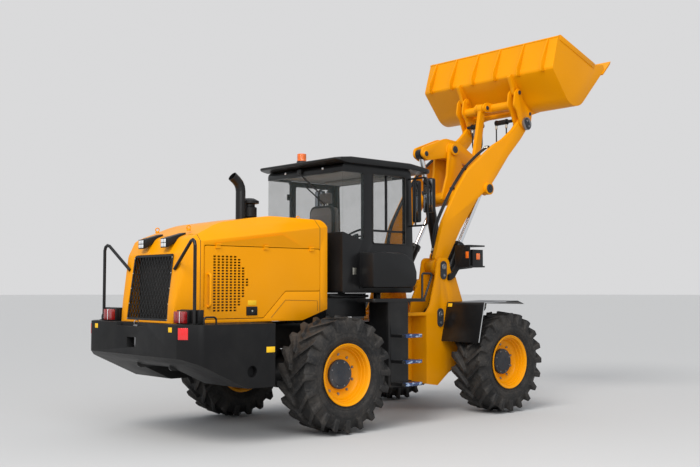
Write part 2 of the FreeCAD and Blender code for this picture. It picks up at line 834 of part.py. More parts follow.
def quarter_rows(rear_x, shrink):
    """Rear side window with a rising lower edge: x, z, corner radius."""
    rear, front = quarter_low_z
    return [
        (rear_x, rear + shrink, 0.0), (cab_rear_x + 20.0, rear + shrink, 0.0),
        (quarter_front_x - shrink, front + shrink, 25.0),
        (quarter_front_x - shrink, window_top_z - shrink, 25.0), (rear_x, window_top_z - shrink, 0.0),
    ]


def front_window_rows(shrink):
    y = cab_half_width - cab_pillar - shrink
    return [
        (-y, 1900.0 + shrink, 30.0),
        (y, 1900.0 + shrink, 30.0),
        (y, cab_top_z - 100.0 - shrink, 30.0),
        (-y, cab_top_z - 100.0 - shrink, 30.0),
    ]


def front_pane_place(shape):
    """Leans an upright pane to the slope of the cab's front."""
    lean = math.degrees(math.atan2(cab_lean, cab_top_z - cab_sill_z))
    shape.rotate(vec(cab_front_x - 10.0, 0, cab_sill_z), vec(0, 1, 0), -lean)
    return shape


def cab_frame():
    w = cab_half_width
    body = side_plate(cab_outline(0.0), -w, w)
    body = body.cut(side_plate(cab_outline(cab_wall), -w + cab_wall, w - cab_wall))
    cuts = []
    cuts.append(side_plate(quarter_rows(cab_rear_x - 10.0, 0.0), -w - 10.0, w + 10.0))
    cuts.append(side_plate(window_rows(side_window, 0.0), -w - 10.0, 0.0))
    cuts.append(side_plate(window_rows(cab_door_opening, 0.0), 0.0, w + 10.0))
    front = cross_plate(front_window_rows(0.0), cab_front_x - 200.0, cab_front_x + 100.0)
    cuts.append(front_pane_place(front))
    return body.cut(Part.makeCompound(cuts))


def cab_glass():
    """Panes of the cab, with the rear one meeting the side ones at open glass corners."""
    w, t, skin = cab_half_width, glass_thickness, 2.0
    rear = cab_rear_x + skin
    quarter = side_plate(quarter_rows(rear + t + glass_gap, glass_gap), -w + skin, -w + skin + t)
    panes = both_sides(quarter)
    low, high = quarter_low_z[0] + glass_gap, window_top_z - glass_gap
    panes.append(box(rear, rear + t, -w + skin, w - skin, low, high))
    y0 = -w + cab_wall / 2
    panes.append(side_plate(window_rows(side_window, glass_gap), y0, y0 + t))
    x0 = cab_front_x - 10.0 - cab_wall / 2
    front = cross_plate(front_window_rows(glass_gap + 0.2), x0, x0 + t)
    panes.append(front_pane_place(front))
    return Part.makeCompound(panes)


def cab_roof():
    """Roof cap with rounded corners, thinner towards its overhanging front."""
    w = cab_half_width + roof_overhang_side
    plan = [
        (cab_rear_x - 130.0, -w, 90.0),
        (cab_front_x + roof_overhang_front, -w, 140.0),
        (cab_front_x + roof_overhang_front, w, 140.0),
        (cab_rear_x - 130.0, w, 90.0),
    ]
    z = cab_top_z + 0.3
    roof = flat_plate(plan, z - 60.0, z + roof_thickness + 60.0)
    side = [
        (cab_rear_x - 140.0, z + 30.0, 0.0),
        (cab_rear_x + 20.0, z, 20.0),
        (cab_front_x - 60.0, z, 60.0),
        (cab_front_x + roof_overhang_front + 10.0, z - 15.0, 0.0),
        (cab_front_x + roof_overhang_front + 10.0, z + 25.0, 0.0),
        (cab_front_x - 100.0, z + roof_thickness, 400.0),
        (cab_rear_x + 100.0, z + roof_thickness, 200.0),
        (cab_rear_x - 140.0, z + 55.0, 0.0),
    ]
    return roof.common(side_plate(side, -w - 10.0, w + 10.0))


def cab_door():
    """Left door hung at its rear edge, with a large window."""
    w = cab_half_width
    x0, x1, z0, z1 = cab_door_opening
    leaf = side_plate(window_rows(cab_door_opening, door_gap), w - cab_door_thickness, w)
    leaf = leaf.cut(side_plate(window_rows(cab_door_window, 0.0), 0.0, w + 10.0))
    knuckles = []
    for z in (z0 + 160.0, z1 - 260.0):
        knuckles.append(post_z(cab_hinge_x, cab_hinge_y, z, z + 80.0, 12.0))
        knuckles.append(box(cab_hinge_x, x0 + 40.0, w + 0.6, cab_hinge_y + 6.0, z, z + 80.0))
        knuckles.append(box(x0 + door_gap + 4.0, x0 + 40.0, w - 2.0, w + 1.0, z, z + 80.0))
    handle = box(x1 - 110.0, x1 - 50.0, w - 2.0, w + 30.0, 2040.0, 2100.0)
    return fuse([leaf, handle] + knuckles)


def cab_door_glass():
    w = cab_half_width
    y = w - cab_door_thickness / 2
    return side_plate(window_rows(cab_door_window, glass_gap), y, y + glass_thickness)


def operator_seat():
    """Seat stand and shell on the cab floor."""
    floor = cab_base_z + cab_wall
    stand = box(690.0, 1010.0, -200.0, 200.0, floor + 0.3, 2020.0)
    shell = box(640.0, 690.0, -235.0, 235.0, 1990.0, 2700.0)
    tray = box(640.0, 1080.0, -255.0, 255.0, 1985.0, 2022.0)
    return fuse([stand, shell, tray])


def seat_cushions():
    base = side_plate([
        (695.0, 2022.3, 20.0), (1085.0, 2022.3, 30.0), (1085.0, 2110.0, 40.0), (695.0, 2110.0, 20.0),
    ], -245.0, 245.0)
    back = side_plate([
        (690.3, 2125.0, 20.0), (800.0, 2125.0, 30.0), (770.0, 2680.0, 45.0), (690.3, 2700.0, 20.0),
    ], -230.0, 230.0)
    head = side_plate([
        (690.3, 2715.0, 20.0), (760.0, 2715.0, 30.0), (750.0, 2880.0, 35.0), (690.3, 2880.0, 20.0),
    ], -120.0, 120.0)
    neck = side_plate([(690.3, 2600.0, 0.0), (700.0, 2600.0, 0.0), (700.0, 2800.0, 0.0),
                       (690.3, 2800.0, 0.0)], -30.0, 30.0)
    return Part.makeCompound([base, fuse([back, head, neck])])


def steering_column():
    floor = cab_base_z + cab_wall
    console = side_plate([
        (1340.0, floor + 0.3, 0.0), (1440.0, floor + 0.3, 0.0), (1440.0, 2150.0, 60.0),
        (1360.0, 2200.0, 60.0),
    ], -150.0, 150.0)
    top = vec(1240.0, 0, 2330.0)
    stem = rod(vec(1400.0, 0, 2080.0), top, 28.0)
    axis = (top - vec(1400.0, 0, 2080.0)).normalize()
    section = Part.makePolygon([
        vec(195.0 + 14.0 * math.cos(math.radians(a)), 0, 14.0 * math.sin(math.radians(a)))
        for a in range(0, 361, 60)
    ])
    wheel = Part.Face(section).revolve(vec(0, 0, 0), vec(0, 0, 1), 360)
    wheel.Placement = FreeCAD.Placement(top, FreeCAD.Rotation(vec(0, 0, 1), axis))
    spokes = [rod(top - vec(0, 190.0, 0), top + vec(0, 190.0, 0), 11.0)]
    hub = rod(top - axis * 20.0, top + axis * 18.0, 45.0)
    return fuse([console, stem, wheel, hub] + spokes)


def side_box():
    """Moulded cover on the cab's right side."""
    rows = [
        (620.0, 1650.0, 60.0), (1330.0, 1650.0, 60.0), (1385.0, 1800.0, 120.0),
        (1340.0, 2060.0, 120.0), (900.0, 2090.0, 200.0), (620.0, 2090.0, 30.0),
    ]
    y = -cab_half_width - 0.3
    shape = side_plate(rows, y - 260.0, y)
    outer = [e for e in shape.Edges if all(abs(v.Point.y - (y - 260.0)) < 0.01 for v in e.Vertexes)]
    return shape.makeFillet(45.0, outer)


def side_steps(side):
    """Tank column beside the frame with its platform, steps and hand rail."""
    y0 = -1000.0
    tank = flat_plate([
        (870.0, y0, 40.0), (1230.0, y0, 40.0), (1230.0, -640.0, 20.0), (870.0, -640.0, 20.0),
    ], 450.0, 1480.0)
    platform = flat_plate([
        (620.0, y0 - 10.0, 40.0), (1530.0, y0 - 10.0, 40.0), (1530.0, -700.0, 20.0), (620.0, -700.0, 20.0),
    ], 1480.0, 1520.0)
    bracket = box(support_x + 10.0, support_x + 110.0, -645.0, -support_y - 0.3, 1180.0, rear_rail_top_z)
    steps = []
    for z in step_heights:
        tread = flat_plate([
            (910.0, -1200.0, 25.0), (1365.0, -1200.0, 25.0), (1365.0, y0 + 50.0, 15.0),
            (910.0, y0 + 50.0, 15.0),
        ], z - 35.0, z)
        inner = flat_plate([
            (935.0, -1175.0, 10.0), (1340.0, -1175.0, 10.0), (1340.0, y0 + 20.0, 5.0),
            (935.0, y0 + 20.0, 5.0),
        ], z - 60.0, z - 6.0)
        steps.append(tread.cut(inner))
    rail = bent_tube([
        (1469.0, y0 + 10.0, 1510.0), (1469.0, y0 + 10.0, 1834.0), (1656.0, y0 + 10.0, 1834.0),
        (1505.0, y0 + 10.0, 1510.0),
    ], 30.0, 14.0)
    shape = fuse([tank, platform, rail, bracket] + steps)
    return mirrored(shape) if side > 0 else shape


def mirrors():
    """Two mirror heads on a bent tube loop at each front corner of the cab."""
    x = cab_front_x - 70.0
    root, reach, low, high = -cab_half_width - 0.3, -1065.0, 2440.0, 3045.0
    loop = bent_tube([(x, root, high), (x, reach, high), (x, reach, low), (x, root, low)], 60.0, 12.0)
    stay = rod(vec(x, -848.0, low), vec(x, -848.0, high), 12.0)
    heads = []
    for y0, y1, z0, z1 in ((-1151.0, -980.0, 2600.0, 3030.0), (-905.0, -791.0, 2485.0, 3018.0)):
        rows = [(y0, z0, 30.0), (y1, z0, 30.0), (y1, z1, 30.0), (y0, z1, 30.0)]
        heads.append(cross_plate(rows, x + 5.0, x + 48.0))
    return Part.makeCompound(both_sides(fuse([loop, stay] + heads)))


def beacon():
    z = cab_top_z + 0.3 + roof_thickness
    base = post_z(beacon_place[0], beacon_place[1], z + 0.3, z + 25.0, 66.0)
    lens = post_z(beacon_place[0], beacon_place[1], z + 25.0, z + 120.0, 60.0)
    return fuse([base, lens])


def rear_lamps():
    """Work lamps on the hood's rear slope and tail lamps on the counterweight."""
    z = weight_top_z + 0.3
    housing = box(-1846.0, -1785.0, -1010.0, -650.0, z, z + 150.0)
    lens = box(-1935.0, -1845.0, -862.0, -660.0, z, z + 138.0)
    pod = side_plate([
        (-1800.0, 2085.0, 12.0), (-1795.0, 2192.0, 12.0), (-1560.0, 2262.0, 10.0), (-1560.0, 2180.0, 0.0),
    ], -304.0, -174.0).cut(hood_form(-0.3, hood_low_z))
    glass = side_plate([
        (-1805.0, 2102.0, 0.0), (-1801.0, 2178.0, 0.0), (-1790.0, 2178.0, 0.0), (-1790.0, 2102.0, 0.0),
    ], -288.0, -190.0)
    return Part.makeCompound(both_sides(fuse([housing, lens])) + both_sides(fuse([pod, glass])))


def rear_handrails():
    """Guard rails sloping from the counterweight's corners to the grille, and low grips."""
    z = weight_top_z + 0.3
    tall = bent_tube([
        (-1869.0, -966.0, z), (-1869.0, -966.0, 2205.0), (-1808.0, -478.0, 1853.0),
    ], 60.0, 18.0)
    foot = box(-1905.0, -1848.0, -1000.0, -932.0, z, z + 10.0)
    grip = bent_tube([
        (-1830.0, -1080.0, z), (-1830.0, -1080.0, z + 75.0), (-1680.0, -1080.0, z + 75.0),
        (-1680.0, -1080.0, z),
    ], 30.0, 10.0)
    rail = fuse([tall, foot]).cut(hood_form(-0.3, hood_low_z))
    return Part.makeCompound(both_sides(rail) + both_sides(grip))


# Front frame


def tower_outline():
    a, g = boom_pivot, lift_base
    return [
        (1955.0, 395.0, 20.0),
        (2164.0, 364.0, 30.0),
        (2620.0, 690.0, 80.0),
        (2700.0, 1050.0, 200.0),
        (2690.0, 1430.0, 100.0),
        (2534.0, 1804.0, 60.0),
        (a[0] + 150.0, a[1] - 60.0, 60.0),
        (a[0] + 110.0, a[1] + 120.0, 90.0),
        (a[0] - 110.0, a[1] + 120.0, 90.0),
        (a[0] - 150.0, a[1] - 160.0, 100.0),
        (g[0] - 190.0, 1420.0, 200.0),
        (1955.0, 1332.0, 20.0),
    ]


def inner_outline():
    a, g = boom_pivot, lift_base
    return [
        (1640.0, 470.0, 0.0),
        (2150.0, 400.0, 60.0),
        (2560.0, 430.0, 60.0),
        (2700.0, 670.0, 40.0),
        (3180.0, 690.0, 60.0),
        (3180.0, 1080.0, 100.0),
        (2700.0, 1160.0, 200.0),
        (g[0] + 280.0, 1500.0, 200.0),
        (a[0] + 150.0, a[1] - 60.0, 100.0),
        (a[0] + 110.0, a[1] + 120.0, 90.0),
        (a[0] - 110.0, a[1] + 120.0, 90.0),
        (a[0] - 160.0, a[1] - 160.0, 100.0),
        (g[0] - 250.0, 1500.0, 200.0),
        (1900.0, 1240.0, 60.0),
        (1640.0, 1240.0, 0.0),
    ]


def front_frame():
    """Front chassis: forks at the articulation, boom towers, deck and the tilt cylinder's bracket."""
    yi, yo, t = tower_inner_y, tower_outer_y, tower_plate
    parts = both_sides(side_plate(inner_outline(), -yi, -yi + t))
    parts += both_sides(side_plate(tower_outline(), -yo, -yo + t))
    parts += both_sides(box(1955.0, 1980.0, -yo + 1.0, -yi + 1.0, 395.0, 1332.0))
    parts += both_sides(box(1590.0, 1980.0, -yo, -yi + 1.0, 1290.0, 1330.0))
    parts += both_sides(box(2000.0, 2170.0, -yo + 1.0, -yi + 1.0, 420.0, 445.0))
    parts.append(box(1640.0, 1665.0, -yi, yi, 470.0, 1240.0))
    parts.append(box(1660.0, 2900.0, -yi + 1.0, yi - 1.0, 1040.0, 1070.0))
    parts.append(pin_y((2150.0, 1690.0), -yi + 1.0, yi - 1.0, 80.0))
    for z in (steer_upper_z, steer_lower_z):
        for above in (-1, 1):
            near = z + above * (steer_lug_thickness / 2 + steer_gap)
            far = near + above * fork_thickness
            z0, z1 = sorted((near, far))
            fork = flat_plate([
                (1650.0, -steer_lug_radius - 60.0, 0.0), (steer_x, -steer_lug_radius, 0.0),
                (steer_x, steer_lug_radius, 0.0), (1650.0, steer_lug_radius + 60.0, 0.0),
            ], z0, z1)
            parts += [fork, post_z(steer_x, 0, z0, z1, steer_lug_radius)]
        half = steer_lug_thickness / 2 + steer_gap + fork_thickness
        parts.append(post_z(steer_x, 0, z - half - 12.0, z + half + 12.0, steer_pin_radius))
    tilt = [
        (2540.0, 1060.0, 0.0), (3000.0, 1060.0, 0.0), (3010.0, 1300.0, 200.0),
        (tilt_base[0] + 75.0, tilt_base[1] - 20.0, 60.0), (tilt_base[0] + 60.0, tilt_base[1] + 75.0, 60.0),
        (tilt_base[0] - 60.0, tilt_base[1] + 75.0, 60.0), (tilt_base[0] - 75.0, tilt_base[1] - 20.0, 60.0),
        (2560.0, 1500.0, 200.0),
    ]
    parts += both_sides(side_plate(tilt, -tilt_ear_y - t, -tilt_ear_y))
    parts.append(box(2560.0, 2985.0, -tilt_ear_y, tilt_ear_y, 1060.0, 1090.0))
    parts.append(box(2680.0, 2705.0, -tilt_ear_y, tilt_ear_y, 1080.0, 1850.0))
    for side in (-1, 1):
        for z0 in (steer_cyl_z - 58.0, steer_cyl_z + 33.0):
            y = side * steer_cyl_eye[1]
            parts.append(flat_plate([
                (1645.0, y - side * 75.0, 0.0), (steer_cyl_eye[0] - 35.0, y - side * 25.0, 25.0),
                (steer_cyl_eye[0] - 35.0, y + side * 25.0, 25.0), (1645.0, y + side * 60.0, 0.0),
            ], z0, z0 + 25.0))
    shape = fuse(parts)
    notch = pin_y((front_axle_x, axle_z), -yi - 5.0, yi + 5.0, axle_tube_radius + 0.3)
    bowl = axle_bowl(front_axle_x, 0.3)
    bores = [
        pin_y(boom_pivot, -yo - 5.0, yo + 5.0, pivot_pin_radius + pin_fit),
        pin_y(lift_base, -yo - 5.0, yo + 5.0, pivot_pin_radius + pin_fit),
        pin_y(tilt_base, -tilt_ear_y - t - 5.0, tilt_ear_y + t + 5.0, pivot_pin_radius + pin_fit),
    ]
    return shape.cut(Part.makeCompound([notch, bowl] + bores))


def tower_pins():
    """Boom pivot and lift cylinder pins with their lock plates on the towers."""
    parts = []
    for place in (boom_pivot, lift_base):
        pin = pin_y(place, -tower_outer_y - 0.3, -tower_inner_y, pivot_pin_radius)
        plate = side_plate([
            (place[0] - 55.0, place[1] + 75.0, 54.0), (place[0] - 55.0, place[1] - 170.0, 54.0),
            (place[0] + 55.0, place[1] - 170.0, 54.0), (place[0] + 55.0, place[1] + 75.0, 54.0),
        ], -tower_outer_y - 16.0, -tower_outer_y - 0.3)
        parts += both_sides(fuse([pin, plate]))
    return Part.makeCompound(parts)


def front_fenders():
    """Folded plate over each front wheel, carried on the tower's outer face."""
    t = 6.0
    rows = [
        (2240.0, 945.0, 0.0), (2362.0, 1462.0, 40.0), (3300.0, 1482.0, 40.0), (3430.0, 1440.0, 0.0),
        (3430.0, 1434.0, 0.0), (3300.0, 1476.0, 34.0), (2368.0, 1456.0, 34.0), (2246.0, 944.0, 0.0),
    ]
    y0, y1 = -1250.0, -tower_outer_y - 0.3
    leaf = side_plate(rows, y0, y1)
    web = side_plate([
        (2240.0, 945.0, 0.0), (2362.0, 1460.0, 30.0), (3300.0, 1478.0, 30.0), (3425.0, 1436.0, 0.0),
        (3400.0, 1330.0, 60.0), (2560.0, 1330.0, 200.0), (2330.0, 945.0, 0.0),
    ], y1 - t, y1)
    return Part.makeCompound(both_sides(fuse([leaf, web])))


def front_lamps():
    """Lamp carriers reaching out from the towers, with the head lamps in them."""
    y = -tower_outer_y - 0.3
    arm = side_plate([
        (2365.0, 1740.0, 20.0), (2470.0, 1790.0, 60.0), (2560.0, 1900.0, 60.0), (2840.0, 1925.0, 20.0),
        (2840.0, 1950.0, 0.0), (2530.0, 1950.0, 60.0), (2440.0, 1860.0, 60.0), (2365.0, 1830.0, 20.0),
    ], y - 40.0, y)
    floor = box(2520.0, 2840.0, y - 260.0, y, 1930.0, 1950.0)
    back = box(2520.0, 2540.0, y - 260.0, y, 1949.0, 2230.0)
    top = box(2520.0, 2840.0, y - 260.0, y, 2210.0, 2230.0)
    lamp = box(2620.0, 2830.0, y - 235.0, y - 25.0, 1949.0, 2170.0)
    return Part.makeCompound(both_sides(fuse([arm, floor, back, top, lamp])))


# Boom and linkage


def boom():
    """Two cranked arms joined by the cross tube, with the rocker's ears standing on it."""
    a, b, d = boom_pivot, boom_tip, lift_rod_pin
    outline = [
        (2203.0, 2060.0, 0.0), (2364.0, 2535.0, 500.0), (2665.0, 3014.0, 500.0), (2909.0, 3311.0, 400.0),
        (3463.0, 3710.0, 400.0), (3688.0, 3825.0, 100.0), (3901.0, 3982.0, 200.0), (4070.0, 4150.0, 60.0),
        (4230.0, 4035.0, 60.0), (4082.0, 3866.0, 200.0), (3781.0, 3576.0, 500.0), (3504.0, 3255.0, 200.0),
        (3390.0, 3130.0, 60.0), (3083.0, 2905.0, 200.0), (2723.0, 2460.0, 500.0), (2415.0, 1990.0, 0.0),
        (2300.0, 1850.0, 60.0),
    ]
    y0, y1 = -boom_arm_y - boom_arm_thickness / 2, -boom_arm_y + boom_arm_thickness / 2
    arm = side_plate(outline, y0, y1)
    parts = [arm]
    parts.append(pin_y(a, y0, y1, boom_hub_radius))
    parts.append(pin_y(a, -boom_hub_outer_y, -boom_hub_inner_y, boom_hub_radius - 30.0))
    parts.append(pin_y(b, -coupler_outer_y + 2.0, -coupler_inner_y - coupler_plate - 2.0, 95.0))
    parts.append(pin_y(d, y0 - 40.0, -lift_cyl_y - lift_eye_half - 6.0, 88.0))
    arms = both_sides(fuse(parts))
    tube = pin_y(cross_tube, y0 + 40.0, -y0 - 40.0, cross_tube_radius)
    hollow = pin_y(cross_tube, y1, -y1, cross_tube_radius - cross_tube_wall)
    drain = post_z(cross_tube[0], 0, cross_tube[1] - cross_tube_radius - 5.0, cross_tube[1], 10.0)
    c, e = cross_tube, rocker_pivot
    ear_rows = [
        (c[0] - 190.0, c[1] - 40.0, 20.0), (c[0] - 60.0, c[1] + 330.0, 300.0), (e[0] - 95.0, e[1], 60.0),
        (e[0] - 60.0, e[1] + 95.0, 80.0), (e[0] + 60.0, e[1] + 95.0, 80.0),
        (e[0] + 100.0, e[1] - 40.0, 80.0),
        (c[0] + 330.0, c[1] + 330.0, 300.0), (c[0] + 420.0, c[1] + 250.0, 40.0),
        (c[0] + 120.0, c[1] + 20.0, 60.0),
    ]
    ears = both_sides(side_plate(ear_rows, -ear_inner_y - ear_thickness, -ear_inner_y))
    shape = fuse(arms + [tube] + ears)
    cuts = [hollow, drain]
    cuts.append(pin_y(a, -boom_hub_outer_y - 5.0, boom_hub_outer_y + 5.0, pivot_pin_radius + pin_fit))
    cuts.append(pin_y(b, -600.0, 600.0, tip_pin_radius + pin_fit))
    cuts.append(pin_y(e, -200.0, 200.0, rocker_pin_radius + pin_fit))
    return shape.cut(Part.makeCompound(cuts))


def rocker():
    """Two cranked side plates on a hub, with a web between their middles."""
    f, e, g = rocker_rear, rocker_pivot, rocker_front
    rows = [
        (f[0] - 80.0, f[1] - 30.0, 70.0), (f[0] - 60.0, f[1] + 85.0, 70.0),
        (e[0] - 110.0, e[1] + 160.0, 200.0),
        (e[0] + 150.0, e[1] + 140.0, 250.0), (e[0] + 480.0, e[1] - 20.0, 300.0),
        (g[0] + 90.0, g[1] + 20.0, 85.0),
        (g[0] + 50.0, g[1] - 90.0, 80.0), (g[0] - 80.0, g[1] - 70.0, 80.0),
        (e[0] + 330.0, e[1] - 190.0, 200.0),
        (e[0] + 60.0, e[1] - 130.0, 200.0), (e[0] - 150.0, e[1] - 130.0, 200.0),
        (f[0] + 40.0, f[1] - 90.0, 80.0),
    ]
    plates = both_sides(side_plate(rows, -rocker_plate_inner_y - rocker_plate, -rocker_plate_inner_y))
    hub = pin_y(e, -ear_inner_y + 5.0, ear_inner_y - 5.0, 98.0)
    web = side_plate([
        (e[0] - 300.0, e[1] + 40.0, 0.0), (e[0] - 20.0, e[1] + 110.0, 60.0),
        (e[0] + 330.0, e[1] + 10.0, 60.0),
        (e[0] + 330.0, e[1] - 20.0, 20.0), (e[0], e[1] + 60.0, 60.0), (e[0] - 300.0, e[1] + 10.0, 0.0),
    ], -rocker_plate_inner_y - 5.0, rocker_plate_inner_y + 5.0)
    bosses = both_sides(pin_y(f, -rocker_plate_inner_y - rocker_plate - 12.0,
                              -rocker_plate_inner_y - 1.0, 50.0))
    shape = fuse(plates + [hub, web] + bosses)
    cuts = [
        pin_y(e, -150.0, 150.0, rocker_pin_radius + pin_fit),
        pin_y(g, -150.0, 150.0, rocker_pin_radius + pin_fit),
    ]
    return shape.cut(Part.makeCompound(cuts))


def headed_pin(place, half, head, thick):
    """Rocker or link pin with a round keeper of a given radius and thickness beyond each end."""
    return fuse([pin_y(place, -half - thick, half + thick, rocker_pin_radius)]
                + both_sides(pin_y(place, -half - thick, -half - 0.3, head)))


def rocker_pin():
    half = ear_inner_y + ear_thickness
    return headed_pin(rocker_pivot, half, rocker_head_radius, pin_head)


def link_pin():
    half = rocker_plate_inner_y + rocker_plate
    return headed_pin(rocker_front, half, link_head_radius, link_pin_head)


def tilt_base_pin():
    half = tilt_ear_y + tower_plate + 12.0
    return pin_y(tilt_base, -half, half, pivot_pin_radius)


def dump_link():
    """Straight bar from the rocker up to the coupler, open at its upper pivot."""
    g, c = rocker_front, link_top
    dx, dz = c[0] - g[0], c[1] - g[1]
    length = math.hypot(dx, dz)
    ux, uz = dx / length, dz / length
    w0, w1 = 68.0, 50.0
    rows = [
        (g[0] - uz * w0, g[1] + ux * w0, 0.0), (g[0] + uz * w0, g[1] - ux * w0, 0.0),
        (c[0] + uz * w1, c[1] - ux * w1, 0.0), (c[0] - uz * w1, c[1] + ux * w1, 0.0),
    ]
    h = link_half_width
    bar = side_plate(rows, -h * 0.6, h * 0.6)
    parts = [bar, pin_y(g, -h, h, 82.0), pin_y(c, -h, h, 72.0)]
    shape = fuse(parts)
    return shape.cut(pin_y(g, -h - 5.0, h + 5.0, rocker_pin_radius + pin_fit))


def in_bucket(shape):
    """Moves a shape made with u along X and v along Z to its place on the boom's tip pin."""
    shape = shape.copy()
    shape.rotate(vec(0, 0, 0), vec(0, 1, 0), -bucket_roll)
    shape.translate(vec(boom_tip[0], 0, boom_tip[1]))
    return shape


def bucket_uv(place):
    """u and v of a world X, Z place."""
    a = math.radians(bucket_roll)
    dx, dz = place[0] - boom_tip[0], place[1] - boom_tip[1]
    return (dx * math.cos(a) + dz * math.sin(a), -dx * math.sin(a) + dz * math.cos(a))


def coupler():
    """Quick coupler: plate pairs beside the boom tips, the cross tube and the link's ears."""
    up, lo, tube = upper_pin, lock_pin, coupler_tube
    rows = [
        (-70.0, -70.0, 80.0), (60.0, -95.0, 80.0), (lo[0] + 30.0, lo[1] - 50.0, 50.0),
        (lo[0] + 50.0, lo[1] + 40.0, 50.0), (up[0] - 20.0, up[1] - 170.0, 80.0),
        (up[0] + 55.0, up[1] - 40.0, 60.0),
        (up[0] + 50.0, up[1] + 62.0, 60.0), (up[0] - 70.0, up[1] + 60.0, 60.0),
        (tube[0] - 95.0, tube[1] + 60.0, 80.0),
        (tube[0] - 100.0, tube[1] - 60.0, 80.0), (-100.0, 60.0, 60.0),
    ]
    t = coupler_plate
    parts = []
    for y in (-coupler_inner_y - t, -coupler_outer_y - t):
        parts += both_sides(side_plate(rows, y, y + t))
    for place, radius in ((up, 35.0), (lo, 28.0)):
        parts += both_sides(pin_y(place, -coupler_outer_y - t - 8.0, -coupler_inner_y + 8.0, radius))
    y0 = link_half_width + 12.0
    parts += both_sides(pin_y(tube, -coupler_inner_y - 1.0, -y0 - 1.0, coupler_tube_radius))
    c = bucket_uv(link_top)
    ear = [
        (c[0] - 75.0, c[1] - 20.0, 60.0), (c[0] - 50.0, c[1] + 70.0, 70.0),
        (c[0] + 55.0, c[1] + 65.0, 70.0),
        (tube[0] + 62.0, tube[1] + 30.0, 30.0), (tube[0] + 30.0, tube[1] - 60.0, 30.0),
        (tube[0] - 60.0, tube[1] - 30.0, 30.0),
    ]
    parts += both_sides(side_plate(ear, -y0 - 38.0, -y0))
    parts += both_sides(pin_y(c, -y0 - 50.0, -y0 - 30.0, 42.0))
    bar = pin_y((lo[0] - 35.0, lo[1] + 70.0), -coupler_inner_y - 1.0, coupler_inner_y + 1.0, 38.0)
    parts.append(bar)
    shape = fuse(parts)
    shape = shape.cut(pin_y((0.0, 0.0), -coupler_outer_y - t - 5.0, coupler_outer_y + t + 5.0,
                            tip_pin_radius + pin_fit))
    return in_bucket(shape)


def tip_pins():
    """Pins at the boom's tips that the coupler turns on, with a keeper at both ends of each."""
    outer, inner = -coupler_outer_y - coupler_plate, -coupler_inner_y
    pin = fuse([
        pin_y(boom_tip, outer - pin_head, inner + pin_head, tip_pin_radius),
        pin_y(boom_tip, outer - pin_head, outer - 0.3, tip_head_radius),
        pin_y(boom_tip, inner + 0.3, inner + pin_head, tip_head_radius),
    ])
    return Part.makeCompound(both_sides(pin))


def bucket():
    """Wide loading bucket with a straight edge, ribs on its upper back and coupler hooks."""
    w, t, e = bucket_half_width, bucket_plate, bucket_end_plate
    low = bucket_floor_v
    shell = side_plate([
        (1340.0, low, 0.0), (232.0, low, 290.0), (306.0, 674.0, 60.0), (745.0, 910.0, 0.0),
        (752.6, 895.9, 0.0), (320.6, 663.7, 44.0), (248.5, low + t, 274.0), (1340.0, low + t, 0.0),
    ], -w + 1.0, w - 1.0)
    end = side_plate([
        (1340.0, low, 0.0), (232.0, low, 290.0), (306.0, 674.0, 60.0), (745.0, 910.0, 0.0),
        (800.0, 900.0, 30.0), (1213.0, 64.0, 120.0), (1380.0, low + 60.0, 0.0),
    ], -w, -w + e)
    lip = side_plate([
        (1245.0, low - 25.0, 0.0), (1520.0, low - 25.0, 0.0), (bucket_lip[0], low - 4.0, 0.0),
        (bucket_lip[0], low, 0.0), (1245.0, low, 0.0),
    ], -w - 12.0, w + 12.0)
    bead = rod(vec(745.0, -w, 903.0), vec(745.0, w, 903.0), 16.0)
    parts = [shell, lip, bead] + both_sides(end)
    for share in rib_shares:
        y = share * w
        rib = side_plate([
            (300.0, 640.0, 0.0), (240.0, 700.0, 0.0), (330.0, 790.0, 0.0), (715.0, 925.0, 0.0),
            (735.0, 900.0, 0.0), (310.0, 672.0, 0.0),
        ], -y - 9.0, -y + 9.0)
        parts += both_sides(rib)
    up, lo = upper_pin, lock_pin
    hook = [
        (312.0, 640.0, 0.0), (312.0, 700.0, 0.0), (250.0, 705.0, 20.0),
        (up[0] - 10.0, up[1] + 110.0, 120.0),
        (up[0] - 55.0, up[1] + 20.0, 50.0), (up[0] - 30.0, up[1] - 60.0, 50.0),
        (up[0] + 60.0, up[1] - 55.0, 30.0),
        (235.0, 180.0, 40.0), (lo[0] - 45.0, lo[1] + 45.0, 40.0), (lo[0] - 42.0, lo[1] - 45.0, 40.0),
        (240.0, -20.0, 30.0), (460.0, low + 4.0, 0.0), (470.0, low + 20.0, 0.0), (280.0, 80.0, 150.0),
        (260.0, 300.0, 0.0),
    ]
    hooks = both_sides(side_plate(hook, -boom_arm_y - 28.0, -boom_arm_y + 28.0))
    inside = side_plate([
        (1340.0, low + t, 0.0), (248.5, low + t, 274.0), (320.6, 663.7, 44.0), (752.6, 895.9, 0.0),
    ], -w + e, w - e)
    hooks = [h.cut(inside) for h in hooks]
    shape = fuse(parts + hooks)
    holes = []
    for place, radius in ((up, 35.0), (lo, 28.0)):
        holes += both_sides(pin_y(place, -boom_arm_y - 35.0, -boom_arm_y + 35.0, radius + 0.3))
    return in_bucket(shape.cut(Part.makeCompound(holes)))


# Cylinders


def along(start, end, s):
    """Point at a distance along the line from start to end in the X, Z plane."""
    length = math.hypot(end[0] - start[0], end[1] - start[1])
    return (start[0] + (end[0] - start[0]) * s / length, start[1] + (end[1] - start[1]) * s / length)


def bar_between(start, end, s0, s1, y, radius):
    a = along(start, end, s0)
    b = along(start, end, s1)
    return rod(vec(a[0], y, a[1]), vec(b[0], y, b[1]), radius)


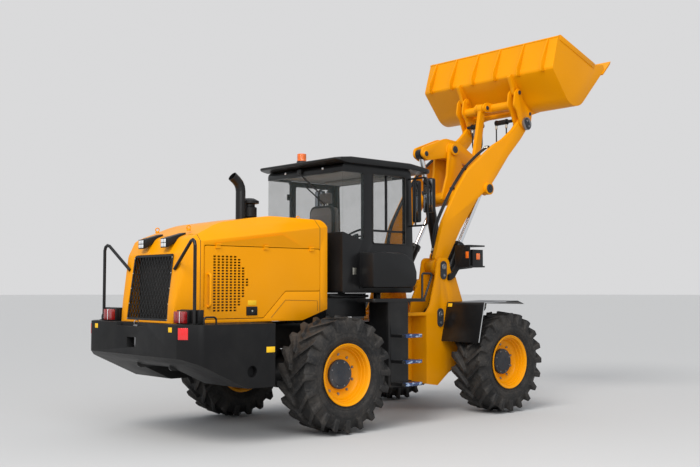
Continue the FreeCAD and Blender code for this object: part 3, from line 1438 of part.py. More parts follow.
def cylinder_barrel(start, end, y, spec):
    """Barrel with its base eye. spec: radius, bore, barrel end, cavity start, eye radius, half width."""
    radius, bore, reach, cavity, eye, half = spec
    body = bar_between(start, end, eye * 0.6, reach, y, radius)
    gland = bar_between(start, end, reach - 60.0, reach, y, radius + 9.0)
    ring = pin_y(start, y - half, y + half, eye)
    shape = fuse([body, gland, ring])
    room = bar_between(start, end, cavity, reach + 5.0, y, bore)
    hole = pin_y(start, y - half - 5.0, y + half + 5.0, pivot_pin_radius + pin_fit)
    return shape.cut(Part.makeCompound([room, hole]))


def cylinder_rod(start, end, y, spec):
    """Piston, rod and a closed eye at its end. spec: rod, piston radius, piston start, eye, half width."""
    radius, piston, first, eye, half = spec
    length = math.hypot(end[0] - start[0], end[1] - start[1])
    head = bar_between(start, end, first, first + 60.0, y, piston)
    shaft = bar_between(start, end, first, length - eye * 0.6, y, radius)
    ring = pin_y(end, y - half, y + half, eye)
    return fuse([head, shaft, ring])


lift_barrel_spec = (lift_barrel_radius, lift_barrel_bore, 1130.0, 115.0, 85.0, 45.0)
lift_rod_spec = (lift_rod_radius, lift_barrel_bore - rod_fit, 130.0 + lift_stroke, 60.0, 35.0)
tilt_barrel_spec = (tilt_barrel_radius, tilt_barrel_bore, 980.0, 125.0, 80.0, 84.0)
tilt_rod_spec = (tilt_rod_radius, tilt_barrel_bore - rod_fit, 150.0 + tilt_stroke, 72.0, 45.0)


def lift_barrels():
    barrel = cylinder_barrel(lift_base, lift_rod_pin, -lift_cyl_y, lift_barrel_spec)
    return Part.makeCompound(both_sides(barrel))


def lift_rods():
    return Part.makeCompound(both_sides(
        cylinder_rod(lift_base, lift_rod_pin, -lift_cyl_y, lift_rod_spec)))


def tilt_barrel():
    return cylinder_barrel(tilt_base, rocker_rear, 0.0, tilt_barrel_spec)


def tilt_rod():
    return cylinder_rod(tilt_base, rocker_rear, 0.0, tilt_rod_spec)


def steer_line(side):
    base = vec(steer_cyl_base[0], side * steer_cyl_base[1], steer_cyl_z)
    eye = vec(steer_cyl_eye[0], side * steer_cyl_eye[1], steer_cyl_z)
    return base, eye, (eye - base).normalize()


def steer_barrel(side):
    base, eye, axis = steer_line(side)
    body = rod(base + axis * 82.0, base + axis * 505.0, steer_barrel_radius)
    neck = rod(base, base + axis * 84.0, 28.0)
    ring = post_z(base.x, base.y, steer_cyl_z - 30.0, steer_cyl_z + 30.0, 45.0)
    pin = post_z(base.x, base.y, steer_cyl_z - 75.0, steer_cyl_z + 75.0, steer_base_pin_radius)
    shape = fuse([body, neck, ring, pin])
    room = rod(base + axis * 95.0, base + axis * 515.0, steer_barrel_bore)
    return shape.cut(room)


def steer_rod(side):
    base, eye, axis = steer_line(side)
    length = (eye - base).Length
    head = rod(base + axis * 260.0, base + axis * 285.0, steer_barrel_bore - rod_fit)
    shaft = rod(base + axis * 260.0, base + axis * (length - 20.0), steer_rod_radius)
    ring = post_z(eye.x, eye.y, steer_cyl_z - 27.0, steer_cyl_z + 27.0, 34.0)
    return fuse([head, shaft, ring])


def build():
    """Every node's name and shape."""
    nodes = {
        "rear_frame": rear_frame_with_supports(),
        "rear_axle": axle(0.0, 1.0),
        "counterweight": counterweight(),
        "hood": hood_shell(),
        "rear_grille": rear_grille(),
        "engine_door_right": engine_door(-1),
        "engine_door_left": engine_door(1),
        "engine": engine(),
        "radiator": radiator(),
        "transmission": transmission(),
        "exhaust_stack": exhaust(),
        "air_cleaner": air_cleaner(),
        "cab_frame": cab_frame(),
        "cab_glass": cab_glass(),
        "cab_roof": cab_roof(),
        "cab_door": cab_door(),
        "cab_door_glass": cab_door_glass(),
        "operator_seat": operator_seat(),
        "seat_cushions": seat_cushions(),
        "steering_column": steering_column(),
        "side_box": side_box(),
        "steps_right": side_steps(-1),
        "steps_left": side_steps(1),
        "mirrors": mirrors(),
        "beacon": beacon(),
        "rear_lamps": rear_lamps(),
        "rear_handrails": rear_handrails(),
        "front_frame": front_frame(),
        "front_axle": axle(front_axle_x, -1.0),
        "tower_pins": tower_pins(),
        "front_fenders": front_fenders(),
        "front_lamps": front_lamps(),
        "boom": boom(),
        "rocker_pin": rocker_pin(),
        "rocker": rocker(),
        "link_pin": link_pin(),
        "dump_link": dump_link(),
        "tip_pins": tip_pins(),
        "coupler": coupler(),
        "bucket": bucket(),
        "tilt_base_pin": tilt_base_pin(),
        "tilt_barrel": tilt_barrel(),
        "tilt_rod": tilt_rod(),
        "lift_barrels": lift_barrels(),
        "lift_rods": lift_rods(),
    }
    for side, name in ((1, "left"), (-1, "right")):
        nodes["steer_barrel_" + name] = steer_barrel(side)
        nodes["steer_rod_" + name] = steer_rod(side)
    right_tyre = tyre()
    for end, x in (("rear", 0.0), ("front", front_axle_x)):
        for side, name in ((1, "left"), (-1, "right")):
            ring = right_tyre.copy() if side < 0 else mirrored(right_tyre)
            ring.translate(vec(x, side * half_track, 0))
            nodes["tyre_" + end + "_" + name] = ring
            nodes["rim_" + end + "_" + name] = rim(x, side * half_track, side)
    return nodes


def main():
    os.makedirs("parts", exist_ok=True)
    for name, shape in build().items():
        moved = shape.copy()
        moved.translate(vec(-origin_x, 0, 0))
        moved.exportStep("parts/" + name + ".step")


main()
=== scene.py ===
import json
import logging
import math
from dataclasses import dataclass, field
from enum import Enum
from typing import Any, Callable, Iterable, Sequence

import bmesh
import bpy
from mathutils import Matrix, Vector
from mathutils.bvhtree import BVHTree


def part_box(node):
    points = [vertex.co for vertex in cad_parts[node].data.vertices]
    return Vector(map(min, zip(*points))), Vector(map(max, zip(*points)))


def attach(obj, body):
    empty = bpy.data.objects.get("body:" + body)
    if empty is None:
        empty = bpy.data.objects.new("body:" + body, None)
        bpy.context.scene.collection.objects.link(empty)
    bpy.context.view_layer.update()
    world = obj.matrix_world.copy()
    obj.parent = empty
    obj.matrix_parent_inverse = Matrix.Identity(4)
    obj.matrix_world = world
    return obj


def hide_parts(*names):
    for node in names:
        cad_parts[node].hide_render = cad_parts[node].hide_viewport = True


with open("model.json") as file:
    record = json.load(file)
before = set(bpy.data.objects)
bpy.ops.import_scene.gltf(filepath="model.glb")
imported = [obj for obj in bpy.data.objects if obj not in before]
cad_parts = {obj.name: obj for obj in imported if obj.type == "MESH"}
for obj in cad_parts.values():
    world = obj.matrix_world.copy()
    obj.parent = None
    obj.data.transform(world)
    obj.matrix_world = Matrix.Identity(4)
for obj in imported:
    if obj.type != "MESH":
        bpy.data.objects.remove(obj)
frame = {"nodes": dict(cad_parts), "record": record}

LOG = logging.getLogger("loader")
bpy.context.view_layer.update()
NODES: dict[str, bpy.types.Object] = frame["nodes"]
BODIES: dict[str, list[str]] = frame["record"]["behaviour"]["bodies"]
BODY_OF: dict[str, str] = {node: body for body, nodes in BODIES.items() for node in nodes}
MM = 0.001

# Metres within which corners of a CAD mesh are merged, degrees within which its faces are joined,
# and metres within which corners of a new form are merged
CAD_MERGE = 0.00004
FLAT_ANGLE = 0.6
FORM_MERGE = 0.000002

# Steps of a round bar's section and of its run between two points
ROUND_STEPS = 4
RUN_STEPS = 8


def rear_axle_x() -> float:
    """X of the rear axle in the row frame, in metres, from the rear tyre's box."""
    low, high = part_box("tyre_rear_left")
    return (low[0] + high[0]) / 2


AXLE_X = rear_axle_x()


def at(x: float, y: float, z: float) -> Vector:
    """A place given in millimetres from the rear axle, the middle plane and the ground.

    Args:
        x: Millimetres ahead of the rear axle.
        y: Millimetres to the left of the middle plane.
        z: Millimetres above the ground.

    Returns:
        The place in the row frame, in metres.
    """
    return Vector((AXLE_X + x * MM, y * MM, z * MM))


class Slot(Enum):
    """Material slots of the record."""

    YELLOW = "yellow_paint"
    BLACK = "black_paint"
    STEEL = "grey_steel"
    CHROME = "rod_chrome"
    WEIGHT = "cast_weight"
    TYRE = "tyre_rubber"
    PLASTIC = "black_plastic"
    GLASS = "clear_glass"
    CLOTH = "seat_cloth"
    AMBER = "amber_lens"
    RED = "red_lens"
    CORE = "radiator_core"
    ENGINE = "engine_paint"


class Value:
    """A number socket whose Python operators add Math nodes."""

    def __init__(self, shader: "Shader", socket: Any) -> None:
        """Wraps a socket of a shader's tree."""
        self.shader = shader
        self.socket = socket

    def _math(self, operation: str, *terms: Any) -> "Value":
        """One Math node.

        Args:
            operation: The node's operation.
            terms: Sockets, values or numbers, in order.

        Returns:
            The node's output.
        """
        plain = [t.socket if isinstance(t, Value) else t for t in terms]
        return self.shader.value("ShaderNodeMath", {"operation": operation}, dict(enumerate(plain)))

    def __add__(self, other: Any) -> "Value":
        """Sum."""
        return self._math("ADD", self, other)

    __radd__ = __add__

    def __mul__(self, other: Any) -> "Value":
        """Product."""
        return self._math("MULTIPLY", self, other)

    __rmul__ = __mul__

    def __sub__(self, other: Any) -> "Value":
        """Difference."""
        return self._math("SUBTRACT", self, other)

    def __rsub__(self, other: Any) -> "Value":
        """Difference from a number."""
        return self._math("SUBTRACT", other, self)

    def sine(self) -> "Value":
        """Sine."""
        return self._math("SINE", self)

    def least(self, other: Any) -> "Value":
        """The smaller of two."""
        return self._math("MINIMUM", self, other)

    def ease(self, low: float, high: float) -> "Value":
        """Smooth step.

        Args:
            low: Where it is 0.
            high: Where it is 1.

        Returns:
            The step.
        """
        return self.shader.value(
            "ShaderNodeMapRange", {"interpolation_type": "SMOOTHSTEP", "clamp": True},
            {"Value": self.socket, "From Min": low, "From Max": high})


class Shader:
    """A material's tree: a Principled shader and what feeds it."""

    # Places of the colour sockets on a Mix node
    MIX_FACTOR, MIX_FIRST, MIX_SECOND, MIX_RESULT = 0, 6, 7, 2

    def __init__(self, name: str) -> None:
        """Starts a material with an output and a Principled shader."""
        self.material = bpy.data.materials.new(name)
        self.material.use_nodes = True
        self.tree = self.material.node_tree
        self.tree.nodes.clear()
        self.principled = self.tree.nodes.new("ShaderNodeBsdfPrincipled")
        output = self.tree.nodes.new("ShaderNodeOutputMaterial")
        self.tree.links.new(self.principled.outputs["BSDF"], output.inputs["Surface"])
        self._coordinates: Any = None

    def node(self, kind: str, settings: dict[str, Any] | None = None,
             inputs: dict[Any, Any] | None = None) -> Any:
        """Adds one node.

        Args:
            kind: The node's type.
            settings: Its properties, set first.
            inputs: Values or sockets by the input's name or index.

        Returns:
            The node.
        """
        made = self.tree.nodes.new(kind)
        for key, setting in (settings or {}).items():
            setattr(made, key, setting)
        for key, given in (inputs or {}).items():
            given = given.socket if isinstance(given, Value) else given
            if isinstance(given, bpy.types.NodeSocket):
                self.tree.links.new(given, made.inputs[key])
            else:
                made.inputs[key].default_value = given
        return made

    def value(self, kind: str, settings: dict[str, Any] | None = None,
              inputs: dict[Any, Any] | None = None, output: Any = 0) -> Value:
        """Adds one node and wraps one of its outputs.

        Args:
            kind: The node's type.
            settings: Its properties.
            inputs: Values or sockets by the input's name or index.
            output: Name or index of the output.

        Returns:
            The output as a value.
        """
        return Value(self, self.node(kind, settings, inputs).outputs[output])

    def place(self) -> Any:
        """Object coordinates, in metres of the row frame.

        Returns:
            The socket, the same one each time.
        """
        if self._coordinates is None:
            self._coordinates = self.node("ShaderNodeTexCoord").outputs["Object"]
        return self._coordinates

    def axes(self) -> tuple[Value, Value, Value]:
        """X, Y and Z of the row frame as values."""
        split = self.node("ShaderNodeSeparateXYZ", None, {0: self.place()})
        return tuple(Value(self, split.outputs[i]) for i in range(3))

    def upward(self) -> Value:
        """How far the surface faces up, from -1 to 1."""
        normal = self.node("ShaderNodeNewGeometry").outputs["Normal"]
        return Value(self, self.node("ShaderNodeSeparateXYZ", None, {0: normal}).outputs["Z"])

    def noise(self, scale: float, detail: float = 3.0, stretch: Sequence[float] = (1, 1, 1),
              roughness: float = 0.55) -> Value:
        """Noise on object coordinates.

        Args:
            scale: Repeats to the metre.
            detail: Octaves.
            stretch: Scale along X, Y and Z.
            roughness: Weight of the finer octaves.

        Returns:
            The noise, about 0.5 in the middle.
        """
        moved = self.node("ShaderNodeMapping", None, {"Vector": self.place(), "Scale": tuple(stretch)})
        return self.value("ShaderNodeTexNoise", None,
                          {"Vector": moved.outputs[0], "Scale": scale, "Detail": detail,
                           "Roughness": roughness}, "Fac")

    def blend(self, mask: Any, first: Any, second: Any) -> Any:
        """Mixes two colours.

        Args:
            mask: Value or number from 0 to 1.
            first: Colour or socket at 0.
            second: Colour or socket at 1.

        Returns:
            The mixed colour's socket.
        """
        first, second = ((*c, 1.0) if isinstance(c, tuple) else c for c in (first, second))
        mixer = self.node("ShaderNodeMix", {"data_type": "RGBA"},
                          {self.MIX_FACTOR: mask, self.MIX_FIRST: first, self.MIX_SECOND: second})
        return mixer.outputs[self.MIX_RESULT]

    def bump(self, height: Value, distance: float, strength: float = 1.0) -> None:
        """Feeds a height to the normal.

        Args:
            height: The height, in units of distance.
            distance: Metres for a height of 1.
            strength: Share of the effect.
        """
        made = self.node("ShaderNodeBump", None,
                         {"Height": height, "Distance": distance, "Strength": strength})
        self.tree.links.new(made.outputs[0], self.principled.inputs["Normal"])

    def feed(self, **inputs: Any) -> None:
        """Sets or links sockets of the Principled shader.

        Args:
            inputs: Values or sockets by the socket's name, its spaces written as underscores.
        """
        for key, given in inputs.items():
            socket = self.principled.inputs[key.replace("_", " ")]
            given = given.socket if isinstance(given, Value) else given
            if isinstance(given, bpy.types.NodeSocket):
                self.tree.links.new(given, socket)
            else:
                socket.default_value = given if not isinstance(given, tuple) else (*given, 1.0)


@dataclass(frozen=True)
class Paint:
    """Gloss enamel with orange peel, faint dust and duller flat tops."""

    name: str
    colour: tuple[float, float, float]
    dust: tuple[float, float, float] = (0.42, 0.38, 0.33)
    dust_amount: float = 0.10
    roughness: float = 0.34
    coat: float = 0.04
    peel: float = 0.00010
    specular: float = 0.11

    def build(self) -> bpy.types.Material:
        """Builds the tree.

        Returns:
            The material.
        """
        s = Shader(self.name)
        _, _, height = s.axes()
        patches = s.noise(2.3, 4.0).ease(0.42, 0.75)
        tops = s.upward().ease(0.35, 0.95) * 0.7 + 0.3
        low = 1.0 - height.ease(0.2, 2.2)
        dust = (patches * tops * self.dust_amount + low * patches * self.dust_amount * 1.4).least(0.6)
        tone = s.noise(0.8, 2.0).ease(0.3, 0.7)
        darker = tuple(c * 0.93 for c in self.colour)
        s.feed(Base_Color=s.blend(dust, s.blend(tone, self.colour, darker), self.dust),
               Roughness=dust * 0.5 + s.noise(14.0, 3.0) * 0.08 + self.roughness,
               Coat_Weight=self.coat, Coat_Roughness=0.12, Specular_IOR_Level=self.specular)
        s.bump(s.noise(260.0, 2.0), self.peel)
        return s.material


@dataclass(frozen=True)
class Casting:
    """Painted casting with a sandy skin."""

    name: str
    colour: tuple[float, float, float]
    dust: tuple[float, float, float] = (0.30, 0.28, 0.25)
    roughness: float = 0.42
    grain: float = 0.0007
    specular: float = 0.16

    def build(self) -> bpy.types.Material:
        """Builds the tree.

        Returns:
            The material.
        """
        s = Shader(self.name)
        patches = s.noise(3.0, 5.0).ease(0.4, 0.75)
        dust = patches * (s.upward().ease(0.2, 0.9) * 0.10 + 0.015)
        s.feed(Base_Color=s.blend(dust, self.colour, self.dust),
               Roughness=dust * 0.6 + s.noise(9.0, 3.0) * 0.15 + self.roughness,
               Coat_Weight=0.03, Coat_Roughness=0.25, Specular_IOR_Level=self.specular)
        s.bump(s.noise(120.0, 4.0) * 0.7 + s.noise(22.0, 2.0) * 0.8, self.grain)
        return s.material


@dataclass(frozen=True)
class Rubber:
    """Tyre rubber, paler and duller where it is dusty."""

    name: str
    colour: tuple[float, float, float] = (0.010, 0.010, 0.0105)
    dust: tuple[float, float, float] = (0.15, 0.13, 0.11)
    dust_amount: float = 0.38

    def build(self) -> bpy.types.Material:
        """Builds the tree.

        Returns:
            The material.
        """
        s = Shader(self.name)
        clouds = s.noise(4.0, 6.0).ease(0.38, 0.72)
        specks = s.noise(38.0, 4.0).ease(0.45, 0.7)
        dust = clouds * 0.5 + specks * 0.35
        s.feed(Base_Color=s.blend(dust * self.dust_amount, self.colour, self.dust),
               Roughness=dust * 0.25 + 0.58, Specular_IOR_Level=0.3)
        s.bump(s.noise(180.0, 3.0) + s.noise(30.0, 2.0) * 0.6, 0.0006)
        return s.material


@dataclass(frozen=True)
class Moulding:
    """Moulded plastic with a fine leather grain."""

    name: str
    colour: tuple[float, float, float] = (0.009, 0.009, 0.0095)
    roughness: float = 0.36
    grain: float = 0.00035
    dust: tuple[float, float, float] = (0.26, 0.24, 0.22)
    cells: float = 420.0

    def build(self) -> bpy.types.Material:
        """Builds the tree.

        Returns:
            The material.
        """
        s = Shader(self.name)
        cells = s.value("ShaderNodeTexVoronoi", {"feature": "SMOOTH_F1"},
                        {"Vector": s.place(), "Scale": self.cells, "Smoothness": 0.4}, "Distance")
        dust = s.noise(3.5, 4.0).ease(0.45, 0.75) * s.upward().ease(0.2, 0.9) * 0.10
        s.feed(Base_Color=s.blend(dust, self.colour, self.dust),
               Roughness=s.noise(8.0, 3.0) * 0.12 + self.roughness, Specular_IOR_Level=0.25)
        s.bump(cells, self.grain)
        return s.material


@dataclass(frozen=True)
class Metal:
    """Bare or plated metal."""

    name: str
    colour: tuple[float, float, float]
    roughness: float = 0.2
    streaks: float = 0.15

    def build(self) -> bpy.types.Material:
        """Builds the tree.

        Returns:
            The material.
        """
        s = Shader(self.name)
        grain = s.noise(60.0, 3.0, (1.0, 6.0, 1.0))
        s.feed(Base_Color=s.blend(grain.ease(0.3, 0.8) * 0.3, self.colour,
                                  tuple(c * 0.75 for c in self.colour)),
               Metallic=1.0, Roughness=grain * self.streaks + self.roughness)
        s.bump(s.noise(300.0, 2.0), 0.00004)
        return s.material


@dataclass(frozen=True)
class Glass:
    """Clear pane with a faint tint, seen through by its alpha."""

    name: str
    colour: tuple[float, float, float] = (0.05, 0.065, 0.062)
    alpha: float = 0.13

    def build(self) -> bpy.types.Material:
        """Builds the tree.

        Returns:
            The material.
        """
        s = Shader(self.name)
        haze = s.noise(2.0, 4.0).ease(0.45, 0.8)
        s.feed(Base_Color=self.colour, Roughness=haze * 0.05 + 0.02, Alpha=haze * 0.05 + self.alpha,
               Specular_IOR_Level=0.6)
        return s.material


@dataclass(frozen=True)
class Lens:
    """Moulded lens with upright optic ribs."""

    name: str
    colour: tuple[float, float, float]
    ribs: float = 120.0

    def build(self) -> bpy.types.Material:
        """Builds the tree.

        Returns:
            The material.
        """
        s = Shader(self.name)
        across, along, _ = s.axes()
        wave = ((across + along) * self.ribs * math.tau).sine()
        s.feed(Base_Color=s.blend(wave.ease(-1.0, 1.0) * 0.35, self.colour,
                                  tuple(c * 0.55 for c in self.colour)),
               Roughness=0.16, Coat_Weight=0.8, Coat_Roughness=0.04)
        s.bump(wave, 0.0006)
        return s.material


@dataclass(frozen=True)
class Cloth:
    """Woven seat cloth."""

    name: str
    colour: tuple[float, float, float] = (0.035, 0.035, 0.04)
    threads: float = 1800.0

    def build(self) -> bpy.types.Material:
        """Builds the tree.

        Returns:
            The material.
        """
        s = Shader(self.name)
        x, y, z = s.axes()
        weave = (x * self.threads).sine() * (y * self.threads).sine() + (z * self.threads).sine() * 0.5
        s.feed(Base_Color=s.blend(weave.ease(-1.0, 1.0) * 0.5, self.colour,
                                  tuple(c * 1.9 for c in self.colour)),
               Roughness=0.9, Sheen_Weight=0.35)
        s.bump(weave, 0.0004)
        return s.material


@dataclass(frozen=True)
class Film:
    """Thin printed wrap without writing, blue with pale clouds."""

    name: str
    colour: tuple[float, float, float] = (0.006, 0.030, 0.12)
    cloud: tuple[float, float, float] = (0.30, 0.40, 0.55)

    def build(self) -> bpy.types.Material:
        """Builds the tree.

        Returns:
            The material.
        """
        s = Shader(self.name)
        clouds = s.noise(16.0, 4.0, (1.0, 1.0, 2.2)).ease(0.53, 0.62)
        s.feed(Base_Color=s.blend(clouds, self.colour, self.cloud), Roughness=clouds * 0.1 + 0.22,
               Coat_Weight=0.5, Coat_Roughness=0.08)
        s.bump(s.noise(34.0, 3.0), 0.0012)
        return s.material


@dataclass(frozen=True)
class Fins:
    """Radiator core with upright tubes and fine fins."""

    name: str
    colour: tuple[float, float, float] = (0.035, 0.033, 0.032)
    edge: tuple[float, float, float] = (0.10, 0.095, 0.09)
    tube_waves: float = 620.0
    fin_waves: float = 2600.0

    def build(self) -> bpy.types.Material:
        """Builds the tree.

        Returns:
            The material.
        """
        s = Shader(self.name)
        _, across, height = s.axes()
        tubes = (across * self.tube_waves).sine().ease(-0.4, 0.6)
        fins = (height * self.fin_waves).sine().ease(-0.5, 0.5)
        s.feed(Base_Color=s.blend(tubes * fins, self.colour, self.edge), Metallic=0.6,
               Roughness=s.noise(12.0, 3.0) * 0.2 + 0.45)
        s.bump(tubes * fins, 0.002)
        return s.material


YELLOW = (0.80, 0.305, 0.0006)
BLACK = (0.0065, 0.0065, 0.007)

FINISHES: dict[Slot, Any] = {
    Slot.YELLOW: Paint("yellow_enamel", YELLOW, dust=(0.50, 0.34, 0.13), dust_amount=0.05),
    Slot.BLACK: Paint("black_enamel", BLACK, dust_amount=0.025, roughness=0.30, specular=0.3),
    Slot.STEEL: Metal("pin_steel", (0.30, 0.30, 0.31), 0.38, 0.2),
    Slot.CHROME: Metal("plated_rod", (0.82, 0.83, 0.85), 0.08, 0.06),
    Slot.WEIGHT: Casting("weight_casting", BLACK),
    Slot.TYRE: Rubber("tyre_rubber_dusty"),
    Slot.PLASTIC: Moulding("black_moulding"),
    Slot.GLASS: Glass("cab_panes"),
    Slot.CLOTH: Cloth("seat_weave", (0.085, 0.072, 0.066)),
    Slot.AMBER: Lens("amber_lens_ribbed", (0.90, 0.16, 0.004)),
    Slot.RED: Lens("red_lens_ribbed", (0.30, 0.004, 0.006)),
    Slot.CORE: Fins("finned_core"),
    Slot.ENGINE: Casting("engine_castings", (0.05, 0.055, 0.06)),
}


class Extra(Enum):
    """Finishes of small trim, each standing under the record's slot that it comes nearest to."""

    LOCK = ("lock_plate_paint", Slot.STEEL)
    CLEAR = ("clear_lens", Slot.GLASS)
    MIRROR = ("mirror_silver", Slot.CHROME)
    TRIM = ("grey_edge_trim", Slot.STEEL)
    FILM = ("step_film", Slot.PLASTIC)
    HOSE = ("hose_cover", Slot.TYRE)
    ZINC = ("zinc_plating", Slot.CHROME)
    LINING = ("roof_lining", Slot.CLOTH)
    REFLECTOR = ("red_reflector", Slot.RED)
    BLANK = ("blank_plate", Slot.YELLOW)
    SEAL = ("rubber_seal", Slot.TYRE)


EXTRAS: dict[Extra, Any] = {
    Extra.LOCK: Paint("lock_plate_paint", (0.035, 0.041, 0.050), dust_amount=0.08, roughness=0.4),
    Extra.CLEAR: Lens("clear_lens", (0.72, 0.74, 0.76), ribs=90.0),
    Extra.MIRROR: Metal("mirror_silver", (0.30, 0.31, 0.33), 0.05, 0.03),
    Extra.TRIM: Moulding("grey_edge_trim", (0.30, 0.31, 0.32), 0.4),
    Extra.FILM: Film("step_film"),
    Extra.HOSE: Moulding("hose_cover", (0.012, 0.012, 0.013), 0.40, 0.0006),
    Extra.ZINC: Metal("zinc_plating", (0.62, 0.60, 0.52), 0.3, 0.2),
    Extra.LINING: Cloth("roof_lining", (0.30, 0.29, 0.27)),
    Extra.REFLECTOR: Lens("red_reflector", (0.72, 0.010, 0.012), ribs=260.0),
    Extra.BLANK: Paint("blank_plate", (0.85, 0.50, 0.02), dust_amount=0.05, roughness=0.4),
    Extra.SEAL: Rubber("rubber_seal", (0.012, 0.012, 0.012)),
}

Look = Slot | Extra


class Workshop:
    """Keeps the finishes and turns meshes into pieces that ride on the frame."""

    def __init__(self) -> None:
        """Builds each finish once."""
        self.materials: dict[Look, bpy.types.Material] = {
            look: finish.build() for look, finish in {**FINISHES, **EXTRAS}.items()}

    def dress(self, made: bpy.types.Object, body: str, look: Look,
              replaces: Sequence[str] = ()) -> bpy.types.Object:
        """Gives an object its finish, its body and the nodes that it stands for.

        Args:
            made: The object.
            body: The CAD body that it rides on.
            look: Its finish.
            replaces: CAD nodes that it stands for.

        Returns:
            The object.
        """
        made.data.materials.append(self.materials[look])
        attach(made, body)
        if replaces:
            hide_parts(*replaces)
        return made

    def piece(self, name: str, work: bmesh.types.BMesh, body: str, look: Look,
              replaces: Sequence[str] = (), smooth: float = 35.0) -> bpy.types.Object:
        """Makes an object of a finished bmesh.

        Args:
            name: The piece's name.
            work: The bmesh, in the row frame; it is freed.
            body: The CAD body that it rides on.
            look: Its finish.
            replaces: CAD nodes that it stands for.
            smooth: Edges flatter than this, in degrees, are shaded smooth.

        Returns:
            The object.
        """
        mesh = bpy.data.meshes.new(name)
        work.to_mesh(mesh)
        work.free()
        mesh.shade_smooth()
        mesh.set_sharp_from_angle(angle=math.radians(smooth))
        made = bpy.data.objects.new(name, mesh)
        bpy.context.scene.collection.objects.link(made)
        LOG.info("%s: %d faces on %s", name, len(mesh.polygons), body)
        return self.dress(made, body, look, replaces)

    def form(self, name: str, form: "Form", body: str, look: Look,
             replaces: Sequence[str] = (), smooth: float = 35.0) -> bpy.types.Object:
        """Makes an object of a form, with its doubles merged and its normals outwards.

        Args:
            name: The piece's name.
            form: The form; its mesh is freed.
            body: The CAD body that it rides on.
            look: Its finish.
            replaces: CAD nodes that it stands for.
            smooth: Edges flatter than this, in degrees, are shaded smooth.

        Returns:
            The object.
        """
        return self.piece(name, form.done(), body, look, replaces, smooth)

    def refine(self, node: str, look: Look, bevel: float = 0.003, segments: int = 2,
               angle: float = 28.0) -> bpy.types.Object:
        """Stands a merged copy with rounded edges in for a CAD node.

        Args:
            node: The CAD node.
            look: Its finish.
            bevel: Width of the rounding in metres.
            segments: Rounding steps.
            angle: Edges sharper than this are rounded.

        Returns:
            The object.
        """
        work = merged_copy(node)
        round_edges(work, bevel, segments, angle)
        return self.piece(node + "_skin", work, BODY_OF[node], look, (node,))


def merged_copy(node: str) -> bmesh.types.BMesh:
    """A CAD node's mesh with its doubles merged and its flat faces joined.

    Args:
        node: The CAD node, which stays as it is.

    Returns:
        The copy.
    """
    work = bmesh.new()
    work.from_mesh(NODES[node].data)
    bmesh.ops.remove_doubles(work, verts=work.verts, dist=CAD_MERGE)
    bmesh.ops.dissolve_limit(work, angle_limit=math.radians(FLAT_ANGLE), verts=work.verts,
                             edges=work.edges)
    return work


def round_edges(work: bmesh.types.BMesh, width: float, segments: int = 2, angle: float = 28.0) -> None:
    """Rounds the sharp edges of a mesh.

    Args:
        work: The mesh.
        width: Width of the rounding in metres.
        segments: Rounding steps.
        angle: Edges sharper than this, in degrees, are rounded.
    """
    sharp = [e for e in work.edges
             if len(e.link_faces) == 2 and e.calc_face_angle(0.0) > math.radians(angle)]
    bmesh.ops.bevel(work, geom=sharp, offset=width, offset_type="OFFSET", segments=segments,
                    profile=0.5, affect="EDGES", clamp_overlap=True, material=-1)


